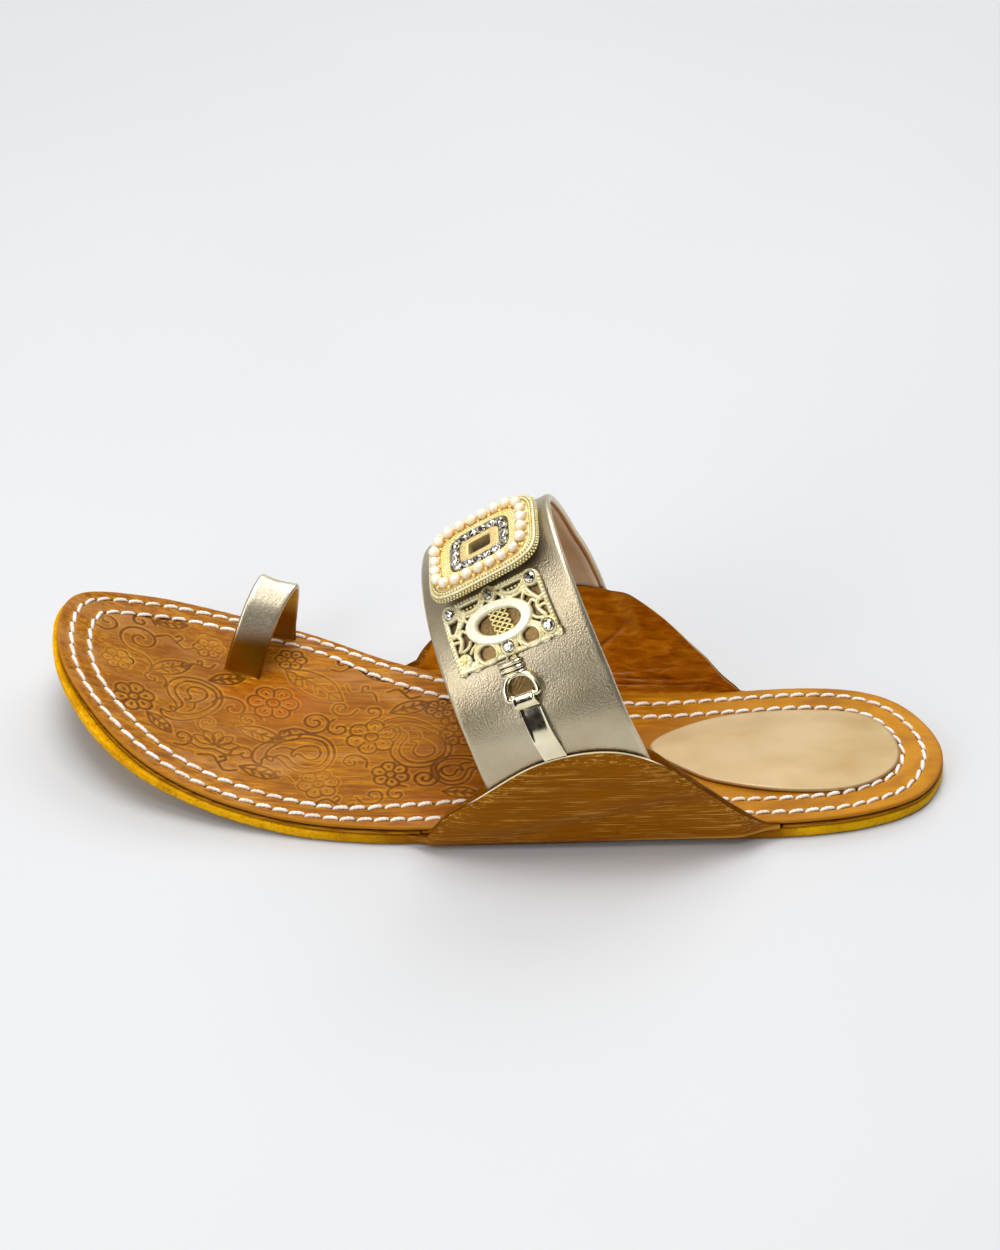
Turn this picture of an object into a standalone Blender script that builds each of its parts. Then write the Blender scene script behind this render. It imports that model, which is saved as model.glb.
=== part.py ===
"""Kolhapuri chappal, left foot: a flat leather sandal with side ears, a wide instep strap and a toe loop.

Frame: +Z up, toe towards -X, heel towards +X, the wearer's inner (medial) side towards +Y.
The sole stands on Z = 0.  All shape sizes below are millimetres; MM turns them into metres.
"""
import math

import bmesh
import bpy
import numpy as np
from mathutils import Matrix, Vector

MM = 0.001
GAP = 0.3                       # clearance between neighbouring pieces
LATERAL, MEDIAL = -1, 1         # sides, as the sign of Y

# ---- sole -------------------------------------------------------------------------------------
OUTSOLE_THICK = 3.5
MIDSOLE_THICK = 1.1
INSOLE_THICK = 1.4
MIDSOLE_INSET = 0.7
INSOLE_INSET = 0.3
TOE_MARGIN = 1.3                # the upper layers stand back this much more round the toe
TOE_MARGIN_RUN = (-98.0, 26.0)  # x where that starts and the run over which it grows
TOE_SPRING = 23.0               # rise of the toe tip
SPRING_START = -45.0            # x where the sole leaves the ground
SOLE_STATIONS = 44

# the sole's outline, once round from the toe tip along the outer side and back
OUTLINE = (
    # name               x       y
    ("toe_tip",       -130.8,   27.5),
    ("toe_outer",     -127.4,    7.2),
    ("toe_corner",    -114.5,  -12.0),
    ("vamp_outer",     -96.0,  -26.2),
    ("ball_front",     -72.0,  -35.2),
    ("ball_outer",     -38.0,  -40.8),
    ("shank_outer",      0.0,  -41.0),
    ("waist_outer",     45.0,  -39.8),
    ("heel_outer",      86.0,  -38.0),
    ("heel_turn_out",  109.0,  -33.2),
    ("heel_corner_out", 123.5, -24.5),
    ("heel_end",       129.8,   -9.0),
    ("heel_corner_in", 125.0,    7.0),
    ("heel_turn_in",   113.0,   18.2),
    ("heel_inner",      92.0,   21.6),
    ("waist_inner",     50.0,   18.6),
    ("shank_inner",     10.0,   21.8),
    ("ball_back",      -27.0,   32.4),
    ("ball_inner",     -58.0,   47.5),
    ("toe_inner",      -88.0,   53.2),
    ("toe_inner_turn", -112.5,  50.4),
    ("toe_corner_in",  -126.4,  42.6),
)

# ---- heel pad ---------------------------------------------------------------------------------
PAD_THICK = 1.2
PAD_OUTLINE = (
    # name            x       y
    ("tip",          44.5,   -6.7),
    ("front_outer",  56.0,  -18.6),
    ("outer_front",  67.0,  -23.4),
    ("outer",        84.0,  -26.3),
    ("outer_back",  101.5,  -25.1),
    ("back_outer",  113.0,  -18.0),
    ("back",        116.7,   -8.6),
    ("back_inner",  113.4,    2.2),
    ("inner_back",  104.0,    8.4),
    ("inner",        83.0,    9.2),
    ("front_inner",  61.0,    4.8),
)

# ---- ears -------------------------------------------------------------------------------------
EAR_THICK = 1.1                 # one leather; each ear has two
EAR_TAB = 7.0                   # depth of the root between outsole and insole
EAR_BEND = 1.8                  # radius of the turn from the root up into the wall
EAR_LEAN = 0.10                 # outward run of the wall for each unit of height
EAR_HEM = 2.2                   # lowest point of the outer leather
EAR_INNER_RISE = 0.7            # the inner leather stands this much higher
EAR_STATIONS = 30
EAR_WALL_STEPS = 7
EAR_SPAN = {LATERAL: (-21.0, 80.0), MEDIAL: (-26.0, 74.0)}
EAR_TOP = (
    # share of span, height
    (0.00,  3.6),
    (0.07, 15.0),
    (0.20, 27.0),
    (0.33, 36.8),
    (0.47, 41.0),
    (0.60, 39.6),
    (0.75, 30.5),
    (0.88, 17.0),
    (1.00,  4.6),
)

# ---- instep strap -----------------------------------------------------------------------------
STRAP_THICK = 2.3
STRAP_FOOT_Z = 40.0             # height where the arch begins
STRAP_LEG = 20.0                # degrees of the sweep given to each straight leg
STRAP_LEG_STEPS = 4
STRAP_ARCH_STEPS = 45
STRAP_ACROSS = 5
STRAP_BREADTH = 45.0            # across the strap, over the curve
STRAP_BLEND = (1.2, 24.0)       # the strap leaves the ear's line this far above its rim, over this height
STRAP_EDGES = {
    # edge     middle y, half width, rise of arch, x at foot, lean, curl, skew, z of the end
    "front": (-7.2, 40.8, 27.0, -9.3, 0.33, 0.0042, -0.057, 16.0),
    "rear":  (-11.5, 37.8, 54.8,  36.6, 0.37, 0.0007, -0.120, 29.0),
}
POCKET_RAMP = 8.0               # run over which the outer leather swells out over the strap end
POCKET_MARGIN = 2.5             # the swell is full this far beyond the strap

# ---- toe loop ---------------------------------------------------------------------------------
LOOP_WIDTH = 11.0
LOOP_THICK = 1.8
LOOP_MIDDLE = (-71.0, 34.9)     # x, y midway between the feet
LOOP_ACROSS = (0.425, 0.905, 0.0)   # direction from the outer foot to the inner one
LOOP_UP = (0.15, 0.0, 1.0)      # the loop leans back
LOOP_STEPS = 3
LOOP_PATH = (
    # across  up     yaw   dip   centre line from the outer foot over the top to the inner one,
    (-12.0,   0.0, -12.0,  9.0),     # with the way the band's width points: yaw from +X, dip to the rear
    (-10.3,   5.0,  -5.0,  9.0),
    (-8.0,   10.0,   2.0,  8.0),
    (-5.3,   15.0,   4.0,  8.0),
    (-2.1,   19.0,   3.0, 11.0),
    (1.4,    21.4,   0.0, 16.0),
    (4.8,    22.2,  -1.0, 19.0),
    (7.6,    20.8,  -3.0, 16.0),
    (9.0,    16.9,  -5.0, 12.0),
    (9.4,    11.5,  -8.0, 10.0),
    (9.9,     5.0, -10.0,  9.0),
    (10.9,    0.0, -12.0,  9.0),
)

# ---- metal trim -------------------------------------------------------------------------------
BROOCH_SIZE = (34.8, 27.4)      # across the strap, along it
BROOCH_THICK = 2.2
BROOCH_CUSHION = 4.6            # exponent of the rounded outline
BROOCH_OPENING = (7.0, 5.4)
BROOCH_STEPS = 32
BROOCH_CENTRE = (-3.0, -13.8, 83.2)   # middle of the underside
BROOCH_PITCH = 34.0             # degrees, rear edge up
BROOCH_ROLL = 5.0               # degrees, outer edge down
BROOCH_TURN = -0.9              # degrees about its own normal
PLAQUE_WIDTH = 30.4
PLAQUE_LENGTH = 18.6
PLAQUE_THICK = 1.5
PLAQUE_LIFT = 0.4               # the flat facets need a little more than GAP
PLAQUE_PLACE = (54.1, 0.476)    # sweep and share across the strap
CONNECTOR_PLACE = (38.3, 0.445)
CONNECTOR_SIZE = (6.2, 3.4, 2.2)     # across, along, height
CONNECTOR_RIBS = 3
CONNECTOR_CORNER = 0.8          # how much its upper corners are cut back
RIB_DEPTH = 0.35
RING_PLACE = (26.4, 0.456)      # middle of the straight bar
RING_WIRE = 0.55                # radius of the wire
RING_SIZE = (8.7, 6.1)          # centre line of the wire, across and along
RING_BAR_END = 1.3              # how far the two lower corners reach up from the bar
RING_ARC_POWER = 2.3            # exponent of the arc, 2 is an ellipse
RING_BAR_POWER = 5.0            # exponent of the lower corners
RING_STEPS = 24
WIRE_SIDES = 6
RIBBON_WIDTH = 6.6
RIBBON_THICK = 0.5
RIBBON_TAIL = 4.4               # length of the end folded under
RIBBON_FOLD_GAP = 0.4           # between the ring's bar and the fold round it
RIBBON_FLAT_SWEEP = 18.0        # from here to the ear the ribbon lies flat on the strap
RIBBON_END_ACROSS = 0.483       # share across the strap at the ear
RIBBON_STEPS = 7

MATERIALS = {
    # name             colour (linear)          roughness  metallic
    "outsole_leather": ((0.78, 0.42, 0.03), 0.55, 0.0),
    "midsole_leather": ((0.18, 0.07, 0.02), 0.65, 0.0),
    "insole_leather":  ((0.50, 0.21, 0.04), 0.45, 0.0),
    "ear_outer":       ((0.24, 0.10, 0.02), 0.50, 0.0),
    "ear_inner":       ((0.52, 0.24, 0.07), 0.55, 0.0),
    "pad_gold":        ((0.80, 0.66, 0.45), 0.40, 0.3),
    "strap_champagne": ((0.56, 0.47, 0.36), 0.40, 0.5),
    "trim_gold":       ((0.90, 0.74, 0.45), 0.25, 1.0),
}


# ---- helpers ----------------------------------------------------------------------------------
def smooth(value):
    """Smooth step from 0 to 1."""
    value = min(max(value, 0.0), 1.0)
    return value * value * (3.0 - 2.0 * value)


def lerp(a, b, share):
    return a + (b - a) * share


def curve_through(points, steps, closed=False):
    """Catmull-Rom curve through the points, with a number of steps in each span."""
    rows = [np.array(p, dtype=float) for p in points]
    count = len(rows)
    spans = count if closed else count - 1
    out = []
    for i in range(spans):
        if closed:
            p0, p1, p2, p3 = (rows[(i + k) % count] for k in (-1, 0, 1, 2))
        else:
            p1, p2 = rows[i], rows[i + 1]
            p0 = rows[i - 1] if i > 0 else 2 * p1 - p2
            p3 = rows[i + 2] if i + 2 < count else 2 * p2 - p1
        for k in range(steps):
            t = k / steps
            out.append(0.5 * (2 * p1 + (p2 - p0) * t + (2 * p0 - 5 * p1 + 4 * p2 - p3) * t ** 2
                              + (3 * p1 - p0 - 3 * p2 + p3) * t ** 3))
    if not closed:
        out.append(rows[-1])
    return np.array(out)


def material(name):
    found = bpy.data.materials.get(name)
    if found:
        return found
    colour, roughness, metallic = MATERIALS[name]
    made = bpy.data.materials.new(name)
    made.use_nodes = True
    shader = made.node_tree.nodes["Principled BSDF"]
    shader.inputs["Base Color"].default_value = (*colour, 1.0)
    shader.inputs["Roughness"].default_value = roughness
    shader.inputs["Metallic"].default_value = metallic
    made.diffuse_color = (*colour, 1.0)
    return made


def add_object(name, bm, material_name, smooth_angle=35.0):
    """Finish a bmesh in millimetres as one object in metres, faces pointing out."""
    bmesh.ops.recalc_face_normals(bm, faces=bm.faces)
    bmesh.ops.scale(bm, vec=(MM, MM, MM), verts=bm.verts)
    mesh = bpy.data.meshes.new(name)
    bm.to_mesh(mesh)
    bm.free()
    mesh.shade_smooth()
    mesh.set_sharp_from_angle(angle=math.radians(smooth_angle))
    mesh.materials.append(material(material_name))
    made = bpy.data.objects.new(name, mesh)
    bpy.context.scene.collection.objects.link(made)
    return made


def loft(rings, closed=False):
    """Skin a row of equal rings; the end rings are capped unless the row closes on itself."""
    bm = bmesh.new()
    rows = [[bm.verts.new(p) for p in ring] for ring in rings]
    size = len(rows[0])
    pairs = list(zip(rows, rows[1:]))
    if closed:
        pairs.append((rows[-1], rows[0]))
    for a, b in pairs:
        for k in range(size):
            n = (k + 1) % size
            bm.faces.new((a[k], a[n], b[n], b[k]))
    if not closed:
        bm.faces.new(rows[0])
        bm.faces.new(reversed(rows[-1]))
    return bm


# ---- sole -------------------------------------------------------------------------------------
def spring(x):
    """Height of the sole's underside."""
    if x >= SPRING_START:
        return 0.0
    run = SPRING_START - OUTLINE[0][1]
    return TOE_SPRING * ((SPRING_START - x) / run) ** 2


def inset_curve(points, inset):
    """Move a closed outline inwards, a little more round the toe."""
    ahead = np.roll(points, -1, axis=0)
    behind = np.roll(points, 1, axis=0)
    along = ahead - behind
    along /= np.linalg.norm(along, axis=1)[:, None]
    # the outline runs counter-clockwise seen from above, so its inside is on the left
    inward = np.column_stack((-along[:, 1], along[:, 0]))
    start, run = TOE_MARGIN_RUN
    margin = [inset + TOE_MARGIN * smooth((start - x) / run) for x in points[:, 0]]
    return points + inward * np.array(margin)[:, None]


OUTLINE_CURVE = curve_through([row[1:] for row in OUTLINE], 16, closed=True)


def side_lines(curve):
    """Split a closed outline into its two sides, each as y over rising x."""
    front, back = curve[:, 0].argmin(), curve[:, 0].argmax()
    count = len(curve)
    outer = [curve[(front + k) % count] for k in range((back - front) % count + 1)]
    inner = [curve[(back + k) % count] for k in range((front - back) % count + 1)][::-1]
    return {LATERAL: np.array(outer), MEDIAL: np.array(inner)}


SOLE_SIDES = side_lines(OUTLINE_CURVE)


def edge_y(side, x, lines=SOLE_SIDES):
    line = lines[side]
    return float(np.interp(x, line[:, 0], line[:, 1]))


def cosine_stations(start, end, count):
    return [lerp(start, end, 0.5 - 0.5 * math.cos(math.pi * k / (count - 1))) for k in range(count)]


def slab(outline, bottom, thick, stations, notch=None):
    """A sheet that follows the toe spring, cut to an outline."""
    lines = side_lines(outline)
    start, end = outline[:, 0].min() + 0.12, outline[:, 0].max() - 0.12
    xs = cosine_stations(start, end, stations)
    if notch:
        for side in (LATERAL, MEDIAL):
            for at in notch[side]:
                xs += [at - 0.1, at + 0.1]
    rings = []
    for x in sorted(xs):
        outer, inner = edge_y(LATERAL, x, lines), edge_y(MEDIAL, x, lines)
        if notch and notch[LATERAL][0] < x < notch[LATERAL][1]:
            outer = edge_y(LATERAL, x) + EAR_TAB + GAP
        if notch and notch[MEDIAL][0] < x < notch[MEDIAL][1]:
            inner = edge_y(MEDIAL, x) - EAR_TAB - GAP
        low = spring(x) + bottom
        rings.append([(x, outer, low), (x, inner, low), (x, inner, low + thick), (x, outer, low + thick)])
    return loft(rings)


MIDSOLE_Z = OUTSOLE_THICK + GAP
INSOLE_Z = MIDSOLE_Z + MIDSOLE_THICK + GAP
FOOTBED_Z = INSOLE_Z + INSOLE_THICK


def build_sole():
    notch = {side: (span[0] - GAP, span[1] + GAP) for side, span in EAR_SPAN.items()}
    add_object("outsole", slab(OUTLINE_CURVE, 0.0, OUTSOLE_THICK, SOLE_STATIONS), "outsole_leather")
    midsole = slab(inset_curve(OUTLINE_CURVE, MIDSOLE_INSET), MIDSOLE_Z, MIDSOLE_THICK, SOLE_STATIONS, notch)
    add_object("midsole", midsole, "midsole_leather")
    insole = slab(inset_curve(OUTLINE_CURVE, INSOLE_INSET), INSOLE_Z, INSOLE_THICK, SOLE_STATIONS)
    add_object("insole", insole, "insole_leather")
    pad_curve = curve_through([row[1:] for row in PAD_OUTLINE], 6, closed=True)
    add_object("heel_pad", slab(pad_curve, FOOTBED_Z + GAP, PAD_THICK, 26), "pad_gold")


# ---- ears and strap: shared surfaces ----------------------------------------------------------
EAR_ROOT_Z = MIDSOLE_Z + MIDSOLE_THICK / 2
BEND_CENTRE = (0.4, EAR_ROOT_Z + EAR_BEND)          # out from the sole edge, height
LEAN_ANGLE = math.atan(EAR_LEAN)
EAR_TOP_CURVE = curve_through(EAR_TOP, 6)


def wall_out(z):
    """Distance out from the sole edge of the inner leather's middle at a height."""
    knee = BEND_CENTRE[0] + EAR_BEND * math.cos(LEAN_ANGLE)
    knee_z = BEND_CENTRE[1] - EAR_BEND * math.sin(LEAN_ANGLE)
    return knee + EAR_LEAN * (z - knee_z)


def ear_top(side, x):
    start, end = EAR_SPAN[side]
    return float(np.interp((x - start) / (end - start), EAR_TOP_CURVE[:, 0], EAR_TOP_CURVE[:, 1]))


def strap_edge(edge, sweep):
    """Point on the front or rear edge of the strap's outer face, sweep in degrees from foot to foot."""
    middle, half, rise, foot_x, lean, curl, skew, end_z = STRAP_EDGES[edge]
    if 0.0 <= sweep <= 180.0:
        angle = math.radians(sweep)
        y = middle - half * math.cos(angle)
        z = STRAP_FOOT_Z + rise * math.sin(angle)
    else:
        side = LATERAL if sweep < 0.0 else MEDIAL
        depth = (-sweep if sweep < 0.0 else sweep - 180.0) / STRAP_LEG
        y = middle + side * half
        z = lerp(STRAP_FOOT_Z, end_z, depth)
    above = z - STRAP_FOOT_Z
    x = foot_x - lean * above - curl * max(above, 0.0) ** 2 + skew * (y - middle)
    return Vector((x, y, z))


def strap_point(sweep, across):
    """Point on the strap's outer face; across runs from 0 at the front edge to 1 at the rear."""
    point = strap_edge("front", sweep).lerp(strap_edge("rear", sweep), across)
    if sweep < 60.0 or sweep > 120.0:
        side = LATERAL if sweep < 90.0 else MEDIAL
        pocket = edge_y(side, point.x) + side * (wall_out(point.z) + EAR_THICK / 2 + GAP + STRAP_THICK)
        above, run = STRAP_BLEND
        start = ear_top(side, point.x) + above
        point.y = lerp(pocket, point.y, smooth((point.z - start) / run))
    return point


def strap_frame(sweep, across):
    """Point with the directions along the strap, across it and out of it."""
    step = 0.5
    point = strap_point(sweep, across)
    along = (strap_point(sweep + step, across) - strap_point(sweep - step, across)).normalized()
    width = (strap_point(sweep, across + 0.02) - strap_point(sweep, across - 0.02)).normalized()
    out = width.cross(along).normalized()
    width = along.cross(out).normalized()
    return point, along, width, out


def build_strap():
    legs = [-STRAP_LEG + STRAP_LEG * k / STRAP_LEG_STEPS for k in range(STRAP_LEG_STEPS)]
    arch = [180.0 * k / STRAP_ARCH_STEPS for k in range(STRAP_ARCH_STEPS + 1)]
    sweeps = legs + arch + [180.0 - s for s in reversed(legs)]
    rings = []
    for sweep in sweeps:
        outer, inner = [], []
        for k in range(STRAP_ACROSS + 1):
            point, _, _, out = strap_frame(sweep, k / STRAP_ACROSS)
            outer.append(point)
            inner.append(point - out * STRAP_THICK)
        rings.append(outer + inner[::-1])
    add_object("instep_strap", loft(rings), "strap_champagne")


def pocket_swell(side, x, z):
    """How far the outer leather stands off the inner one, from 0 to 1, to make room for the strap."""
    sweep = -0.5 * STRAP_LEG if side == LATERAL else 180.0 + 0.5 * STRAP_LEG
    front, rear = strap_edge("front", sweep), strap_edge("rear", sweep)
    front_x = front.x - STRAP_EDGES["front"][4] * (z - front.z)
    rear_x = rear.x - STRAP_EDGES["rear"][4] * (z - rear.z)
    share = min(max((x - front_x) / (rear_x - front_x), 0.0), 1.0)
    end_z = lerp(STRAP_EDGES["front"][-1], STRAP_EDGES["rear"][-1], share)
    margin = POCKET_MARGIN
    before = smooth((x - front_x + margin + POCKET_RAMP) / POCKET_RAMP)
    behind = smooth((rear_x + margin + POCKET_RAMP - x) / POCKET_RAMP)
    below = smooth((z - end_z + margin + POCKET_RAMP) / POCKET_RAMP)
    return before * behind * below


def ear_ring(side, x, centre):
    """Close a centre line of (out, z) pairs into a ring of the leather's thickness at station x."""
    y0 = edge_y(side, x)
    half = EAR_THICK / 2
    outer, inner = [], []
    for k, (out, z) in enumerate(centre):
        before, after = centre[max(k - 1, 0)], centre[min(k + 1, len(centre) - 1)]
        run = Vector((after[0] - before[0], after[1] - before[1])).normalized()
        outer.append((x, y0 + side * (out + run.y * half), z - run.x * half))
        inner.append((x, y0 + side * (out - run.y * half), z + run.x * half))
    return outer + inner[::-1]


def inner_centre(side, x):
    """Centre line of the inner leather: root, turn, wall."""
    top = ear_top(side, x) + EAR_INNER_RISE
    line = [(-EAR_TAB, EAR_ROOT_Z), (-0.5 * EAR_TAB, EAR_ROOT_Z)]
    knee_z = BEND_CENTRE[1] - EAR_BEND * math.sin(LEAN_ANGLE)
    for k in range(4):
        angle = lerp(-math.pi / 2, -LEAN_ANGLE, k / 3)
        line.append((BEND_CENTRE[0] + EAR_BEND * math.cos(angle), BEND_CENTRE[1] + EAR_BEND * math.sin(angle)))
    for k in range(1, EAR_WALL_STEPS + 1):
        z = lerp(knee_z, max(top, knee_z + 0.5), k / EAR_WALL_STEPS)
        line.append((wall_out(z), z))
    return line


def outer_centre(side, x):
    """Centre line of the outer leather: hem beside the outsole, round the turn, wall over the strap."""
    top = ear_top(side, x)
    stand = EAR_THICK + GAP
    radius = EAR_BEND + stand
    line = [(GAP + EAR_THICK / 2, EAR_HEM)]
    for degrees in (-62.0, -36.0):
        angle = math.radians(degrees)
        line.append((BEND_CENTRE[0] + radius * math.cos(angle), BEND_CENTRE[1] + radius * math.sin(angle)))
    knee_z = BEND_CENTRE[1] - radius * math.sin(LEAN_ANGLE)
    for k in range(EAR_WALL_STEPS + 2):
        z = lerp(knee_z, max(top, knee_z + 0.8), k / (EAR_WALL_STEPS + 1))
        swell = (STRAP_THICK + GAP) * pocket_swell(side, x, z)
        line.append((wall_out(z) + stand + swell, z))
    return line


def build_ears():
    for side, word in ((LATERAL, "lateral"), (MEDIAL, "medial")):
        start, end = EAR_SPAN[side]
        xs = [lerp(start, end, k / (EAR_STATIONS - 1)) for k in range(EAR_STATIONS)]
        inner = loft([ear_ring(side, x, inner_centre(side, x)) for x in xs])
        add_object("ear_inner_" + word, inner, "ear_inner")
        outer = loft([ear_ring(side, x, outer_centre(side, x)) for x in xs])
        add_object("ear_outer_" + word, outer, "ear_outer")


# ---- toe loop ---------------------------------------------------------------------------------
def build_toe_loop():
    """A band bent over from one foot to the other; its feet stand on the insole."""
    path = curve_through(LOOP_PATH, LOOP_STEPS)
    across, up = Vector(LOOP_ACROSS), Vector(LOOP_UP)
    floor = FOOTBED_Z + GAP
    middle = Vector((*LOOP_MIDDLE, floor + spring(LOOP_MIDDLE[0])))
    line = [middle + across * a + up * h for a, h, _, _ in path]
    rings = []
    for k, point in enumerate(line):
        run = (line[min(k + 1, len(line) - 1)] - line[max(k - 1, 0)]).normalized()
        yaw, dip = math.radians(path[k][2]), math.radians(path[k][3])
        broad = Vector((math.cos(yaw) * math.cos(dip), math.sin(yaw) * math.cos(dip), -math.sin(dip)))
        width = (broad - run * broad.dot(run)).normalized() * (LOOP_WIDTH / 2)
        out = run.cross(width).normalized() * (LOOP_THICK / 2)
        ring = [point - width + out, point + width + out, point + width - out, point - width - out]
        if k in (0, len(line) - 1):
            for corner in ring:
                corner.z = floor + spring(corner.x)
        rings.append(ring)
    add_object("toe_loop", loft(rings), "strap_champagne")


# ---- metal trim -------------------------------------------------------------------------------
def cushion(width, length, power, steps):
    """Rounded rectangle with softly bowed sides."""
    points = []
    for k in range(steps):
        angle = 2.0 * math.pi * (k + 0.5) / steps
        cos, sin = math.cos(angle), math.sin(angle)
        points.append((math.copysign(abs(cos) ** (2.0 / power), cos) * width / 2,
                       math.copysign(abs(sin) ** (2.0 / power), sin) * length / 2))
    return points


def brooch_frame():
    """Turn from the plate's own axes to the frame: rear, inner side, up."""
    return (Matrix.Rotation(math.radians(-BROOCH_PITCH), 3, "Y")
            @ Matrix.Rotation(math.radians(BROOCH_ROLL), 3, "X")
            @ Matrix.Rotation(math.radians(BROOCH_TURN), 3, "Z"))


def build_brooch():
    """A flat plate with an opening, resting on the crown of the strap."""
    centre, place = Vector(BROOCH_CENTRE), brooch_frame()
    rim = cushion(*BROOCH_SIZE, BROOCH_CUSHION, BROOCH_STEPS)
    hole = cushion(*BROOCH_OPENING, 2.0 * BROOCH_CUSHION, BROOCH_STEPS)
    rings = []
    for outline, height in ((rim, 0.0), (rim, BROOCH_THICK), (hole, BROOCH_THICK), (hole, 0.0)):
        rings.append([centre + place @ Vector((u, v, height)) for u, v in outline])
    add_object("brooch", loft(rings, closed=True), "trim_gold")


def side_frame(side, sweep, across):
    """Strap frame counted from the foot on one side: point, up the strap, to the rear, out."""
    point, along, width, out = strap_frame(sweep if side == LATERAL else 180.0 - sweep, across)
    return point, -side * along, width, out


def over_strap(side, place, across_mm, up_mm, height):
    """Point above the strap, from millimetre steps in the plane that touches it at a place."""
    base, up, width, _ = side_frame(side, *place)
    sweep, across = place
    for _ in range(4):
        point, _, _, out = side_frame(side, sweep, across)
        short_up = up_mm - (point - base).dot(up)
        short_across = across_mm - (point - base).dot(width)
        ahead = (side_frame(side, sweep + 0.5, across)[0] - point) / 0.5
        aside = (side_frame(side, sweep, across + 0.02)[0] - point) / 0.02
        split = Matrix(((ahead.dot(up), aside.dot(up)), (ahead.dot(width), aside.dot(width)))).inverted()
        step = split @ Vector((short_up, short_across))
        sweep, across = sweep + step.x, across + step.y
    point, _, _, out = side_frame(side, sweep, across)
    return point + out * height


def build_plaque(name, side):
    """A thin plate bent to the strap."""
    columns, rows = 6, 8
    rings = []
    for j in range(rows + 1):
        up = lerp(-PLAQUE_LENGTH / 2, PLAQUE_LENGTH / 2, j / rows)
        top, bottom = [], []
        for k in range(columns + 1):
            across = lerp(-PLAQUE_WIDTH / 2, PLAQUE_WIDTH / 2, k / columns)
            bottom.append(over_strap(side, PLAQUE_PLACE, across, up, PLAQUE_LIFT))
            top.append(over_strap(side, PLAQUE_PLACE, across, up, PLAQUE_LIFT + PLAQUE_THICK))
        rings.append(top + bottom[::-1])
    add_object(name, loft(rings), "trim_gold")


def build_connector(name, side):
    """A short ribbed link between the plaque and the ring."""
    width, length, height = CONNECTOR_SIZE
    rings = []
    steps = 4 * CONNECTOR_RIBS
    cut = CONNECTOR_CORNER
    for j in range(steps + 1):
        up = lerp(-length / 2, length / 2, j / steps)
        groove = RIB_DEPTH if j % 4 in (0, 3) else 0.0
        half, top = width / 2 - groove, GAP + height - groove
        profile = ((-half, GAP), (-half, top - cut), (-half + cut, top), (half - cut, top),
                   (half, top - cut), (half, GAP))
        rings.append([over_strap(side, CONNECTOR_PLACE, across, up, h) for across, h in profile])
    add_object(name, loft(rings), "trim_gold")


def build_ring(name, side):
    """A D-shaped wire ring; its straight bar lies in the ribbon's fold."""
    width, length = RING_SIZE
    bar_height = GAP + RIBBON_THICK + RIBBON_FOLD_GAP + RING_WIRE
    arc_height = 1.3 * GAP + RING_WIRE
    line = []
    for k in range(RING_STEPS):
        angle = 2.0 * math.pi * (k + 0.5) / RING_STEPS
        cos, sin = math.cos(angle), math.sin(angle)
        power = RING_ARC_POWER if sin > 0.0 else RING_BAR_POWER
        reach = length - RING_BAR_END if sin > 0.0 else RING_BAR_END
        across = math.copysign(abs(cos) ** (2.0 / power), cos) * width / 2
        up = RING_BAR_END + math.copysign(abs(sin) ** (2.0 / power), sin) * reach
        line.append((across, up, lerp(bar_height, arc_height, smooth(up / length))))
    rings = []
    for k, (across, up, height) in enumerate(line):
        before, after = line[k - 1], line[(k + 1) % RING_STEPS]
        run = Vector((after[0] - before[0], after[1] - before[1])).normalized()
        ring = []
        for i in range(WIRE_SIDES):
            turn = 2.0 * math.pi * (i + 0.5) / WIRE_SIDES
            off, lift = RING_WIRE * math.cos(turn), RING_WIRE * math.sin(turn)
            ring.append(over_strap(side, RING_PLACE, across + run.y * off, up - run.x * off, height + lift))
        rings.append(ring)
    add_object(name, loft(rings, closed=True), "trim_gold")


def rim_sweep(side, across):
    """Sweep where the strap comes out from behind the ear, with clearance."""
    low, high = -STRAP_LEG, 20.0
    for _ in range(30):
        middle = (low + high) / 2
        point = side_frame(side, middle, across)[0]
        if point.z < ear_top(side, point.x) + 2.0 * GAP:
            low = middle
        else:
            high = middle
    return high


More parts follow.
